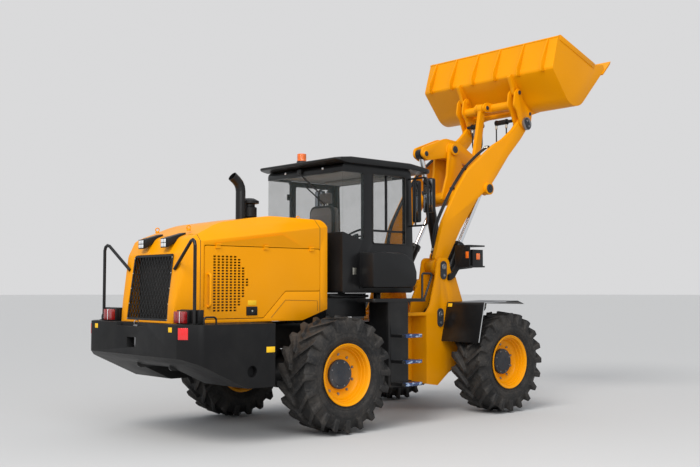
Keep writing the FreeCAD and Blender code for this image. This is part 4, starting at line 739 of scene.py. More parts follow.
class Form:
    """A mesh under work. Places are in millimetres from the rear axle, middle plane and ground."""

    # Degrees between two faces from which their edge is rounded
    SHARP = 25.0
    # Shares of a bolt's width across its flats: sides, radii below and above, start and end
    BOLT = ((24, 0.72, 0.72, 0.0, 0.12), (6, 0.56, 0.56, 0.12, 0.50), (6, 0.56, 0.48, 0.50, 0.58))

    def __init__(self) -> None:
        """Starts with nothing."""
        self.work = bmesh.new()

    def _soften(self, verts: Iterable[bmesh.types.BMVert], bevel: float, segments: int = 2) -> None:
        """Rounds every sharp edge of some vertices.

        Args:
            verts: The vertices.
            bevel: Width of the rounding in millimetres.
            segments: Rounding steps.
        """
        if bevel <= 0:
            return
        self.work.normal_update()
        edges = {e for v in verts for e in v.link_edges
                 if len(e.link_faces) == 2 and e.calc_face_angle(0.0) > math.radians(self.SHARP)}
        bmesh.ops.bevel(self.work, geom=list(edges), offset=bevel * MM, offset_type="OFFSET",
                        segments=segments, profile=0.5, affect="EDGES", clamp_overlap=True,
                        material=-1)

    def block(self, low: Sequence[float], high: Sequence[float], bevel: float = 0.0,
              turn: Matrix | None = None) -> "Form":
        """Adds a box between two corners.

        Args:
            low: The lower corner.
            high: The upper corner.
            bevel: Rounding of its edges in millimetres.
            turn: A rotation about its middle.

        Returns:
            The form itself.
        """
        size = at(*high) - at(*low)
        centre = (at(*low) + at(*high)) / 2
        matrix = Matrix.Translation(centre) @ (turn or Matrix.Identity(4)) @ Matrix.Diagonal((*size, 1.0))
        made = bmesh.ops.create_cube(self.work, size=1.0, matrix=matrix)
        self._soften(made["verts"], bevel)
        return self

    def turned(self, centre: Sequence[float], axis: Sequence[float],
               rows: Sequence[tuple[float, float]], steps: int = 40, closed: bool = False) -> "Form":
        """Adds a piece turned about an axis.

        Args:
            centre: A place on the axis.
            axis: Its direction.
            rows: Distance along the axis and radius, in millimetres.
            steps: Divisions of the full turn.
            closed: Whether the last row joins the first.

        Returns:
            The form itself.
        """
        middle, way = at(*centre), Vector(axis).normalized()
        side = way.orthogonal().normalized()
        verts = [self.work.verts.new(middle + way * (a * MM) + side * (r * MM)) for a, r in rows]
        pairs = list(zip(verts, verts[1:])) + ([(verts[-1], verts[0])] if closed else [])
        edges = [self.work.edges.new(pair) for pair in pairs]
        bmesh.ops.spin(self.work, geom=verts + edges, cent=middle, axis=way, angle=math.tau,
                       steps=steps, use_merge=True, use_duplicate=False)
        return self

    def slab(self, corners: Sequence[Sequence[float]], offset: Sequence[float],
             bevel: float = 0.0) -> "Form":
        """Adds a flat outline drawn out.

        Args:
            corners: The outline's places.
            offset: How far it is drawn out, in millimetres.
            bevel: Rounding of its edges in millimetres.

        Returns:
            The form itself.
        """
        verts = [self.work.verts.new(at(*c)) for c in corners]
        face = self.work.faces.new(verts)
        made = bmesh.ops.extrude_face_region(self.work, geom=[face])
        moved = [v for v in made["geom"] if isinstance(v, bmesh.types.BMVert)]
        bmesh.ops.translate(self.work, verts=moved, vec=Vector(offset) * MM)
        self._soften(verts + moved, bevel)
        return self

    def pipe(self, points: Sequence[Sequence[float]], radius: float, closed: bool = False,
             straight: bool = False) -> "Form":
        """Adds a round bar along a line.

        Args:
            points: Places along it.
            radius: Its radius in millimetres.
            closed: Whether it runs back to its start.
            straight: Straight runs instead of one smooth curve.

        Returns:
            The form itself.
        """
        curve = route([at(*p) for p in points], radius * MM, closed, straight)
        holder = bpy.data.objects.new("pipe", curve)
        mesh = bpy.data.meshes.new_from_object(holder)
        self.work.from_mesh(mesh)
        bpy.data.objects.remove(holder)
        bpy.data.curves.remove(curve)
        bpy.data.meshes.remove(mesh)
        return self

    def bolt(self, place: Sequence[float], axis: Sequence[float], across: float = 24.0) -> "Form":
        """Adds a hexagon head on a washer.

        Args:
            place: Middle of the washer's seat.
            axis: The way that it stands out.
            across: Millimetres across the head's flats.

        Returns:
            The form itself.
        """
        way = Vector(axis).normalized()
        spin = way.to_track_quat("Z", "Y").to_matrix().to_4x4()
        for sides, low, high, start, end in self.BOLT:
            middle = at(*place) + way * ((start + end) / 2 * across * MM)
            bmesh.ops.create_cone(self.work, cap_ends=True, segments=sides, radius1=low * across * MM,
                                  radius2=high * across * MM, depth=(end - start) * across * MM,
                                  matrix=Matrix.Translation(middle) @ spin)
        return self

    def mirror(self) -> "Form":
        """Adds the mirror image across the machine's middle plane.

        Returns:
            The form itself.
        """
        whole = self.work.verts[:] + self.work.edges[:] + self.work.faces[:]
        made = bmesh.ops.duplicate(self.work, geom=whole)["geom"]
        verts = [v for v in made if isinstance(v, bmesh.types.BMVert)]
        faces = [f for f in made if isinstance(f, bmesh.types.BMFace)]
        bmesh.ops.scale(self.work, verts=verts, vec=(1.0, -1.0, 1.0))
        bmesh.ops.reverse_faces(self.work, faces=faces)
        return self

    def done(self) -> bmesh.types.BMesh:
        """Merges its doubles and turns its normals outwards.

        Returns:
            The mesh.
        """
        bmesh.ops.remove_doubles(self.work, verts=self.work.verts, dist=FORM_MERGE)
        bmesh.ops.recalc_face_normals(self.work, faces=self.work.faces)
        return self.work


def route(points: Sequence[Vector], radius: float, closed: bool = False,
          straight: bool = False) -> bpy.types.Curve:
    """A round curve along points.

    Args:
        points: Places in the row frame, in metres.
        radius: Radius in metres.
        closed: Whether it runs back to its start.
        straight: Straight runs instead of one smooth spline.

    Returns:
        The curve.
    """
    curve = bpy.data.curves.new("route", "CURVE")
    curve.dimensions = "3D"
    curve.bevel_depth = radius
    curve.bevel_resolution = ROUND_STEPS
    curve.use_fill_caps = not closed
    curve.resolution_u = RUN_STEPS
    spline = curve.splines.new("POLY" if straight else "NURBS")
    spline.points.add(len(points) - 1)
    for point, place in zip(spline.points, points):
        point.co = (*place, 1.0)
    if not straight:
        spline.order_u = 3
        spline.use_endpoint_u = not closed
    spline.use_cyclic_u = closed
    return curve


def both(form: Callable[[int], Form]) -> Iterable[tuple[str, Form]]:
    """A form made for the right side and for the left side.

    Args:
        form: Makes the form of a side, given as -1 for right and 1 for left.

    Returns:
        Each side's name and form.
    """
    return ((name, form(side)) for side, name in ((-1, "right"), (1, "left")))


@dataclass
class Studio:
    """Pale floor, soft lamps and the camera at the photograph's place."""

    camera_place: tuple[float, float, float] = (-7280.0, -9350.0, 1648.0)
    camera_yaw: float = 47.99
    camera_pitch: float = 3.26
    lens: float = 49.37
    floor_size: float = 240.0
    floor_tone: float = 0.50
    sky_tone: float = 0.70
    sky_light: tuple[float, float, float] = (0.93, 0.96, 1.0)
    sky_power: float = 0.70
    sun_power: float = 2.0
    sun_light: tuple[float, float, float] = (1.0, 0.97, 0.93)
    sun_spread: float = 28.0
    sun_way: tuple[float, float, float] = (0.66, 0.20, -0.74)
    panel_power: float = 480.0
    panel_size: float = 7.0
    panel_place: tuple[float, float, float] = (-4500.0, -7500.0, 6500.0)
    panel_aim: tuple[float, float, float] = (800.0, 0.0, 1500.0)

    def floor(self) -> None:
        """Lays the floor, which isn't part of the object."""
        work = bmesh.new()
        bmesh.ops.create_circle(work, cap_ends=True, segments=96, radius=self.floor_size)
        mesh = bpy.data.meshes.new("studio_floor")
        work.to_mesh(mesh)
        work.free()
        made = bpy.data.objects.new("studio_floor", mesh)
        bpy.context.scene.collection.objects.link(made)
        s = Shader("studio_floor_plain")
        s.feed(Base_Color=(self.floor_tone,) * 3, Roughness=0.85)
        mesh.materials.append(s.material)

    def world(self) -> None:
        """Soft light from all round, with a pale view of the sky for the camera."""
        world = bpy.data.worlds.new("studio_sky")
        bpy.context.scene.world = world
        world.use_nodes = True
        tree = world.node_tree
        tree.nodes.clear()
        path = tree.nodes.new("ShaderNodeLightPath")
        seen = tree.nodes.new("ShaderNodeBackground")
        lit = tree.nodes.new("ShaderNodeBackground")
        choice = tree.nodes.new("ShaderNodeMixShader")
        out = tree.nodes.new("ShaderNodeOutputWorld")
        seen.inputs["Color"].default_value = (self.sky_tone, self.sky_tone, self.sky_tone * 1.01, 1.0)
        seen.inputs["Strength"].default_value = 1.0
        lit.inputs["Color"].default_value = (*self.sky_light, 1.0)
        lit.inputs["Strength"].default_value = self.sky_power
        tree.links.new(path.outputs["Is Camera Ray"], choice.inputs[0])
        tree.links.new(lit.outputs[0], choice.inputs[1])
        tree.links.new(seen.outputs[0], choice.inputs[2])
        tree.links.new(choice.outputs[0], out.inputs["Surface"])

    def lamps(self) -> None:
        """A broad soft sun and one large panel beside the camera."""
        sun = bpy.data.lights.new("soft_sun", "SUN")
        sun.energy = self.sun_power
        sun.angle = math.radians(self.sun_spread)
        sun.color = self.sun_light
        lamp = bpy.data.objects.new("soft_sun", sun)
        lamp.rotation_euler = Vector(self.sun_way).to_track_quat("-Z", "Y").to_euler()
        bpy.context.scene.collection.objects.link(lamp)
        panel = bpy.data.lights.new("soft_panel", "AREA")
        panel.energy = self.panel_power
        panel.size = self.panel_size
        stand = bpy.data.objects.new("soft_panel", panel)
        stand.location = at(*self.panel_place)
        aim = at(*self.panel_aim) - stand.location
        stand.rotation_euler = aim.to_track_quat("-Z", "Y").to_euler()
        bpy.context.scene.collection.objects.link(stand)

    def camera(self) -> None:
        """Places the camera as the photograph was taken."""
        data = bpy.data.cameras.new("view")
        data.lens = self.lens
        data.sensor_width = 36.0
        data.clip_end = 600.0
        made = bpy.data.objects.new("view", data)
        made.location = at(*self.camera_place)
        made.rotation_euler = (math.radians(90.0 + self.camera_pitch), 0.0,
                               math.radians(self.camera_yaw - 90.0))
        bpy.context.scene.collection.objects.link(made)
        bpy.context.scene.camera = made

    def build(self) -> None:
        """Sets the whole studio."""
        self.floor()
        self.world()
        self.lamps()
        self.camera()
        bpy.context.scene.view_settings.view_transform = "Standard"


@dataclass
class Nodes:
    """Every CAD node that stays or is only rounded, with its finish."""

    shop: Workshop
    replaced: set[str]
    bevels: dict[str, float] = field(default_factory=lambda: {
        "counterweight": 0.012, "hood": 0.004, "cab_frame": 0.010, "cab_roof": 0.012,
        "cab_door": 0.006, "boom": 0.004, "bucket": 0.004, "coupler": 0.004, "rocker": 0.005,
        "dump_link": 0.004, "front_frame": 0.004, "rear_frame": 0.004, "front_lamps": 0.004,
        "mirrors": 0.008, "engine": 0.02, "transmission": 0.02, "radiator": 0.002,
        "lift_barrels": 0.003, "tilt_barrel": 0.003, "tyre_rear_left": 0.007,
        "tyre_rear_right": 0.007, "tyre_front_left": 0.007, "tyre_front_right": 0.007})
    looks: dict[str, Look] = field(default_factory=lambda: {"tower_pins": Extra.LOCK})
    smooth: float = 35.0

    def build(self) -> None:
        """Dresses the nodes one by one."""
        slots = {s["node"]: s["material_slot"] for s in frame["record"]["subparts"]}
        for node in sorted(set(NODES) - self.replaced):
            look = self.looks.get(node, Slot(slots[node]))
            if node in self.bevels:
                self.shop.refine(node, look, self.bevels[node])
            else:
                mesh = NODES[node].data
                mesh.materials.clear()
                mesh.materials.append(self.shop.materials[look])
                mesh.shade_smooth()
                mesh.set_sharp_from_angle(angle=math.radians(self.smooth))


def ring(across: float, radius: float, thick: float, steps: int) -> list[tuple[float, float]]:
    """Round section of a ring, as rows for a turned piece.

    Args:
        across: Where the section's middle is along the axis, in millimetres.
        radius: Radius from the axis to the section's middle.
        thick: The section's own radius.
        steps: Its corners.

    Returns:
        The rows, all round the section.
    """
    turns = (math.tau * k / steps for k in range(steps))
    return [(across + thick * math.cos(a), radius + thick * math.sin(a)) for a in turns]


@dataclass
class Wheels:
    """Rims with turned steps, wheel nuts, hub caps and the tyres' side ribs."""

    shop: Workshop
    axle_height: float = 670.0
    half_track: float = 1010.0
    axles: tuple[tuple[str, float], ...] = (("rear", 0.0), ("front", 2900.0))
    # Radius of a rim's bore, clear of the hub in it
    rim_bore: float = 70.3
    # Count, circle, seat along the axle and width across flats of the nuts and the cap's screws
    fixings: tuple[tuple[int, float, float, float], ...] = (
        (10, 226.0, 50.0, 26.0), (8, 142.0, 101.0, 14.0))
    # Place along the axle, radius and section radius of the rings on a tyre's wall
    wall_rings: tuple[tuple[float, float, float], ...] = (
        (222.0, 394.0, 5.0), (238.5, 422.0, 3.5), (242.0, 474.0, 3.5))

    def rim(self, end: str, x: float, side: int, name: str) -> None:
        """One rim: a flange, three steps down to the well, and a dished disc.

        Args:
            end: The axle's name.
            x: The axle's place.
            side: 1 for left and -1 for right.
            name: The side's name.
        """
        flange = ((-225, 352), (-219, 346), (-205, 343), (-205, 330), (205, 330), (205, 343),
                  (209, 351), (217, 354), (225, 351), (226, 344), (219, 337), (213, 331))
        steps = ((210, 322), (194, 317), (172, 314), (168, 306), (150, 303), (128, 300), (124, 292),
                 (108, 288), (90, 285))
        disc = ((78, 276), (71, 262), (56, 236), (50, 214), (52, 205), (60, 190), (60, 165),
                (60, self.rim_bore), (20, self.rim_bore), (20, 205), (34, 262))
        well = ((38, 272), (-150, 285), (-180, 300), (-200, 316), (-224, 330))
        centre = (x, side * self.half_track, self.axle_height)
        form = Form().turned(centre, (0, side, 0), flange + steps + disc + well, 72, True)
        self.shop.form(f"rim_{end}_{name}_turned", form, f"wheel_{end}_{name}", Slot.YELLOW,
                       (f"rim_{end}_{name}",), 30.0)

    def hub(self, end: str, x: float, side: int, name: str) -> None:
        """One hub cap with its screws, and the nuts on the disc round it.

        Args:
            end: The axle's name.
            x: The axle's place.
            side: 1 for left and -1 for right.
            name: The side's name.
        """
        centre = (x, side * self.half_track, self.axle_height)
        cap = Form().turned(centre, (0, side, 0), (
            (61, 0), (61, 163), (64, 167), (96, 167), (101, 162), (101, 128), (106, 122), (106, 62),
            (103, 58), (103, 0)), 56)
        self.shop.form(f"hub_cap_{end}_{name}", cap, f"wheel_{end}_{name}", Extra.LOCK)
        fixings = Form()
        for count, circle, out, across in self.fixings:
            for i in range(count):
                a = math.tau * (i + 0.5) / count
                place = (x + circle * math.cos(a), centre[1] + side * out,
                         self.axle_height + circle * math.sin(a))
                fixings.bolt(place, (0, side, 0), across)
        self.shop.form(f"wheel_nuts_{end}_{name}", fixings, f"wheel_{end}_{name}", Slot.STEEL)

    def ribs(self, end: str, x: float, side: int, name: str) -> None:
        """Raised rings moulded on the tyre's outer wall.

        Args:
            end: The axle's name.
            x: The axle's place.
            side: 1 for left and -1 for right.
            name: The side's name.
        """
        form = Form()
        centre = (x, side * self.half_track, self.axle_height)
        for out, radius, thick in self.wall_rings:
            form.turned(centre, (0, side, 0), ring(out, radius, thick, 8), 80, True)
        self.shop.form(f"tyre_ribs_{end}_{name}", form, f"wheel_{end}_{name}", Slot.TYRE, (), 60.0)

    def build(self) -> None:
        """All four wheels."""
        for end, x in self.axles:
            for side, name in ((-1, "right"), (1, "left")):
                self.rim(end, x, side, name)
                self.hub(end, x, side, name)
                self.ribs(end, x, side, name)


@dataclass
class Hood:
    """Seams, stampings, eyes, latches and blank plates of the engine hood."""

    shop: Workshop
    side_y: float = 640.0
    seam_places: tuple[float, ...] = (-1588.0, 84.0)
    seam_middle: float = 1750.0
    seam_shortest: float = 0.004
    seam_height: float = 0.0016
    seam_width: float = 0.006
    wedge_foot: tuple[float, float, float] = (-1440.0, -190.0, 2134.0)
    wedge_peak: tuple[float, float] = (-504.0, 2256.0)
    wedge_rise: float = 36.0
    groove: tuple[tuple[float, float], ...] = (
        (-640.0, 1313.0), (-433.0, 1512.0), (45.0, 1500.0), (46.0, 1380.0))
    eye_places: tuple[tuple[float, float, float], ...] = (
        (-1545.0, 330.0, 2318.0), (20.0, 300.0, 2497.0))
    latch_centre: tuple[float, float] = (-910.0, 1395.0)
    latch_out: float = 11.0

    def seams(self) -> None:
        """Dark joints that follow the hood's skin from the floor over its top."""
        form = Form()
        for x in self.seam_places:
            work = merged_copy("hood")
            skin = BVHTree.FromBMesh(work)
            cut = bmesh.ops.bisect_plane(work, geom=work.verts[:] + work.edges[:] + work.faces[:],
                                         plane_co=at(x, 0, 0), plane_no=(1, 0, 0))
            middle = at(x, 0, self.seam_middle)
            for edge in (e for e in cut["geom_cut"] if isinstance(e, bmesh.types.BMEdge)):
                a, b = (v.co.copy() for v in edge.verts)
                if (b - a).length < self.seam_shortest:
                    continue
                out = (b - a).cross(Vector((1, 0, 0))).normalized()
                centre = (a + b) / 2
                if out.dot(centre - middle) < 0:
                    out = -out
                if skin.ray_cast(centre + out * 0.002, out)[0] is not None:
                    continue
                way = (b - a).normalized()
                spin = Matrix((way, out, way.cross(out))).transposed().to_4x4()
                bmesh.ops.create_cube(form.work, size=1.0, matrix=(
                    Matrix.Translation(centre) @ spin
                    @ Matrix.Diagonal(((b - a).length + MM, self.seam_height, self.seam_width, 1.0))))
            work.free()
        self.shop.form("hood_seams", form, "rear_machine", Extra.SEAL)

    def stampings(self) -> None:
        """Long wedge pressed out of each side above the door."""
        inner, outer = -self.side_y + 1.0, -self.side_y - 0.4
        rear, front, foot = self.wedge_foot
        x, z = self.wedge_peak
        form = Form().slab([(rear, inner, foot), (front, inner, foot), (x, inner, z)], (0, outer - inner, 0))
        peak = at(x, outer, z)
        for vertex in form.work.verts:
            if (vertex.co - peak).length < CAD_MERGE:
                vertex.co.y = -(self.side_y + self.wedge_rise) * MM
        self.shop.form("hood_stampings", form.mirror(), "rear_machine", Slot.YELLOW)
        groove = Form().pipe([(x, outer, z) for x, z in self.groove], 2.2, straight=True)
        self.shop.form("hood_grooves", groove.mirror(), "rear_machine", Extra.SEAL)

    def eyes(self) -> None:
        """Lifting eyes on the hood's top."""
        form = Form()
        foot = ((-8, 0), (-8, 24), (6, 24), (10, 18), (10, 0))
        for x, out, z in self.eye_places:
            for y in (-out, out):
                form.turned((x, y, z), (0.25, 1, 0), ring(0.0, 21.0, 6.5, 10), 24, True)
                form.turned((x, y, z - 30.0), (0, 0, 1), foot, 24)
        self.shop.form("lifting_eyes", form, "rear_machine", Slot.YELLOW, (), 50.0)

    def latch(self, side: int) -> Form:
        """Paddle latch of an engine door.

        Args:
            side: 1 for left and -1 for right.

        Returns:
            The latch.
        """
        x, z = self.latch_centre
        face = side * (self.side_y + self.latch_out)
        y0, y1 = sorted((side * (self.side_y - 2.0), face))
        form = Form().block((x - 75.0, y0, z - 49.0), (x + 73.0, y1, z + 49.0), 4.0)
        cup = ((-1, 0), (-1, 34), (1.5, 36), (3, 34), (1, 30), (1, 0))
        return form.turned((x, face, z), (0, side, 0), cup, 32)

    def build(self) -> None:
        """The hood's trim."""
        self.seams()
        self.stampings()
        self.eyes()
        for name, form in both(self.latch):
            self.shop.form(f"door_latch_{name}", form, "engine_door_" + name[0], Slot.PLASTIC)
        x, z = self.latch_centre
        for name, side in (("right", -1), ("left", 1)):
            door, y = "engine_door_" + name[0], side * (self.side_y + 0.2)
            lock = Form().turned((x, side * (self.side_y + self.latch_out + 1.0), z), (0, side, 0),
                                 ((0, 0), (0, 11), (3, 10), (3, 0)), 24)
            self.shop.form(f"door_lock_{name}", lock, door, Extra.ZINC)
            corners = [(x + dx, y, z + dz) for dx, dz in ((-54, 63), (64, 63), (64, 117), (-54, 117))]
            plate = Form().slab(corners, (0, side * 1.6, 0), 0.5)
            self.shop.form(f"blank_label_{name}", plate, door, Extra.BLANK)


@dataclass
class Rear:
    """Grille screws, lamps, reflectors, tow pin and plates at the machine's rear."""

    shop: Workshop
    top: float = 1275.3

    def lamps(self) -> None:
        """Tail lamps of three lenses in black housings, and work lamps in pods."""
        z = self.top
        housing = Form().block((-1846, -1010, z), (-1785, -650, z + 150), 7.0)
        housing.block((-1890, -868, z), (-1830, -654, z + 144), 8.0)
        housing.slab([(-1800, -304, 2085), (-1795, -304, 2192), (-1560, -304, 2262), (-1560, -304, 2215)],
                     (0, 130, 0), 8.0)
        self.shop.form("lamp_housings", housing.mirror(), "rear_machine", Slot.PLASTIC, ("rear_lamps",))
        for name, look, lens_rows in (
                ("red", Slot.RED, ((-860, -796), (-724, -662))), ("amber", Slot.AMBER, ((-722, -712),)),
                ("clear", Extra.CLEAR, ((-778, -764),)),
                ("inner_red", Slot.RED, ((-793, -781), (-761, -727)))):
            form = Form()
            for y0, y1 in lens_rows:
                form.block((-1931, y0, z + 10), (-1880, y1, z + 132), 6.0)
            self.shop.form(f"tail_lens_{name}", form.mirror(), "rear_machine", look)
        housing_front = Form().block((-1807, -300, 2088), (-1794, -178, 2194), 5.0)
        self.shop.form("work_lamp_bezels", housing_front.mirror(), "rear_machine", Slot.BLACK)
        glass = Form()
        for y0, y1 in ((-288, -243), (-235, -190)):
            for z0, z1 in ((2099, 2138), (2145, 2184)):
                glass.block((-1811, y0, z0), (-1803, y1, z1), 3.0)
        self.shop.form("work_lamp_lenses", glass.mirror(), "rear_machine", Extra.CLEAR)

    def grille(self) -> None:
        """Screws along the grille's frame."""
        form = Form()
        lean = 80.0 / 704.0
        for y in (-421.0, 421.0):
            for k in range(5):
                z = 1310.0 + k * 168.0
                inset = (z - 1298.0) / 720.0 * 24.0
                form.bolt((-1866.0 + (z - 1298.0) * lean, y - math.copysign(inset, y), z),
                          (-1, 0, lean), 11.0)
        self.shop.form("grille_screws", form, "rear_machine", Extra.ZINC)

    def reflectors(self) -> None:
        """Red squares and blank plates on the weight's corners."""
        turn = Matrix.Rotation(math.atan2(225.0, -150.0) - math.pi / 2, 4, "Z")
        form = Form().block((-2017, -1035, 1125), (-2009, -925, 1245), 2.5, turn)
        self.shop.form("rear_reflectors", form.mirror(), "rear_machine", Extra.REFLECTOR)
        plates = Form().slab([(-2050.2, -828, 1196), (-2050.2, -760, 1196), (-2050.2, -760, 1246),
                              (-2050.2, -828, 1246)], (-1.5, 0, 0), 0.5)
        plates.slab([(-1086, -1150.2, 966), (-974, -1150.2, 966), (-974, -1150.2, 1026),
                     (-1086, -1150.2, 1026)], (0, -1.5, 0), 0.5)
        self.shop.form("weight_blank_plates", plates.mirror(), "rear_machine", Extra.BLANK)

    def tow_pin(self) -> None:
        """Steel pin with a ring handle in the tow bore."""
        form = Form().turned((-1988, 0, 960), (0, 0, 1), (
            (0, 0), (0, 15), (6, 21), (278, 21), (280, 34), (292, 34), (294, 0)), 32)
        form.turned((-1988, 0, 1275), (0, 1, 0), ring(0.0, 28.0, 4.5, 10), 28, True)
        self.shop.form("tow_pin", form, "rear_machine", Slot.STEEL, (), 50.0)

    def build(self) -> None:
        """The rear end's trim."""
        self.lamps()
        self.grille()
        self.reflectors()
        self.tow_pin()


@dataclass
class Cab:
    """Glazing bars, wiper, lamps, interior, beacon and mirrors of the cab."""

    shop: Workshop
    side_y: float = 740.0

    def glazing(self) -> None:
        """Rubber lips round the side window and the bars of its sliding pane."""
        y = -self.side_y - 0.5
        corners = [(x, y, z) for x, z in rounded(857.0, 1429.0, 2200.0, 3064.0, 28.0)]
        self.shop.form("window_seal", Form().pipe(corners, 7.0, closed=True, straight=True),
                       "rear_machine", Extra.SEAL)
        bars = Form().block((861, -726, 2348), (1425, -700, 2374), 3.0)
        bars.block((1096, -726, 2370), (1122, -700, 3060), 3.0)
        bars.block((1124, -700, 2370), (1142, -688, 3060), 3.0)
        self.shop.form("window_bars", bars, "rear_machine", Slot.BLACK)
        door = Form().block((795, 708, 2348), (1390, 722, 2372), 3.0)
        self.shop.form("door_window_bar", door, "cab_door_leaf", Slot.BLACK)

    def wiper(self) -> None:
        """Rear wiper: motor, arm and blade."""
        form = Form().block((326, 20, 3085), (356, 100, 3150), 8.0)
        form.pipe([(322, 60, 3110), (334, 60, 3115), (334, 10, 3050), (337, -250, 2870),
                   (339, -330, 2815)], 6.0)
        form.pipe([(342, 62, 3100), (342, -250, 2882), (342, -330, 2826)], 4.0)
        form.block((340, -470, 2795), (349, 20, 2813), 3.0, Matrix.Rotation(math.radians(34.0), 4, "X"))
        self.shop.form("rear_wiper", form, "rear_machine", Slot.BLACK)

    def header(self) -> None:
        """Small round lamps on the rear header, the roof lining and a lock plate on the cab's side."""
        studs = Form()
        for y in (-370.0, 370.0):
            studs.turned((354, y, 3122), (-1, 0, 0), ((-2, 0), (-2, 15), (5, 15), (9, 10), (10, 0)), 24)
        self.shop.form("header_studs", studs, "rear_machine", Extra.CLEAR)
        lining = Form().block((412, -680, 3086), (1478, 680, 3102), 6.0)
        lining.block((1130, -520, 3050), (1420, 520, 3084), 16.0)
        self.shop.form("roof_lining", lining, "rear_machine", Extra.LINING)
        lock = Form().block((520, -743, 1812), (578, -739, 1894), 1.5)
        self.shop.form("cab_lock_plate", lock, "rear_machine", Extra.ZINC)

    def interior(self) -> None:
        """Arm consoles, a lever on the right one, a dash and a floor mat."""
        form = Form()
        for side in (-1, 1):
            y0, y1 = sorted((side * 300.0, side * 440.0))
            form.block((690, y0, 2080), (1120, y1, 2170), 22.0)
            form.block((720, y0 + 20, 1650), (1000, y1 - 20, 2082), 16.0)
        form.block((450, -600, 1646), (1300, 600, 1656), 4.0)
        form.turned((1090, -370, 2168), (0.1, 0, 1), ((0, 0), (0, 38), (14, 30), (20, 10), (90, 8), (96, 17),
                                                       (140, 22), (158, 16), (162, 0)), 24)
        form.block((1330, -250, 2090), (1470, 250, 2230), 30.0)
        self.shop.form("cab_interior", form, "rear_machine", Slot.PLASTIC)

    def beacon(self) -> None:
        """Amber dome on its black foot."""
        x, y, z = 420.0, 120.0, 3240.6
        rows = ((0, 0), (0, 66), (14, 66), (20, 62), (24, 62), (24, 0))
        foot = Form().turned((x, y, z), (0, 0, 1), rows, 48)
        self.shop.form("beacon_foot", foot, "rear_machine", Slot.PLASTIC)
        rows = [(24, 0), (24, 59), (40, 60)]
        for k in range(5):
            rows += [(44 + 14 * k, 60), (48 + 14 * k, 58.4), (54 + 14 * k, 58.4)]
        rows += [(112, 60), (118, 54), (119.5, 40), (119.5, 0)]
        self.shop.form("beacon_dome", Form().turned((x, y, z), (0, 0, 1), rows, 56), "rear_machine",
                       Slot.AMBER, ("beacon",))

    def mirror_glass(self) -> None:
        """Silvered panes on the rear faces of the four mirror heads."""
        form = Form()
        for y0, y1, z0, z1 in ((-1141, -990, 2612, 3018), (-896, -800, 2497, 3006)):
            form.block((1501.5, y0, z0), (1507, y1, z1), 2.0)
        self.shop.form("mirror_panes", form.mirror(), "rear_machine", Extra.MIRROR)

    def box(self) -> None:
        """Moulded cover of the side box, its front top sloping down."""
        corners = [(622, -742, 1652), (1330, -742, 1652), (1383, -742, 1720), (1383, -742, 1850),
                   (1330, -742, 1985), (1215, -742, 2060), (1120, -742, 2087), (622, -742, 2087)]
        cover = Form().slab(corners, (0, -256, 0), 36.0)
        cover.block((628, -752, 1640), (700, -742, 2096), 3.0)
        for z in (1700.0, 2040.0):
            cover.bolt((650, -752, z), (0, -1, 0), 16.0)
        self.shop.form("side_box_cover", cover, "rear_machine", Slot.PLASTIC, ("side_box",))

    def build(self) -> None:
        """The cab's trim."""
        self.box()
        self.glazing()
        self.wiper()
        self.header()
        self.interior()
        self.beacon()
        self.mirror_glass()


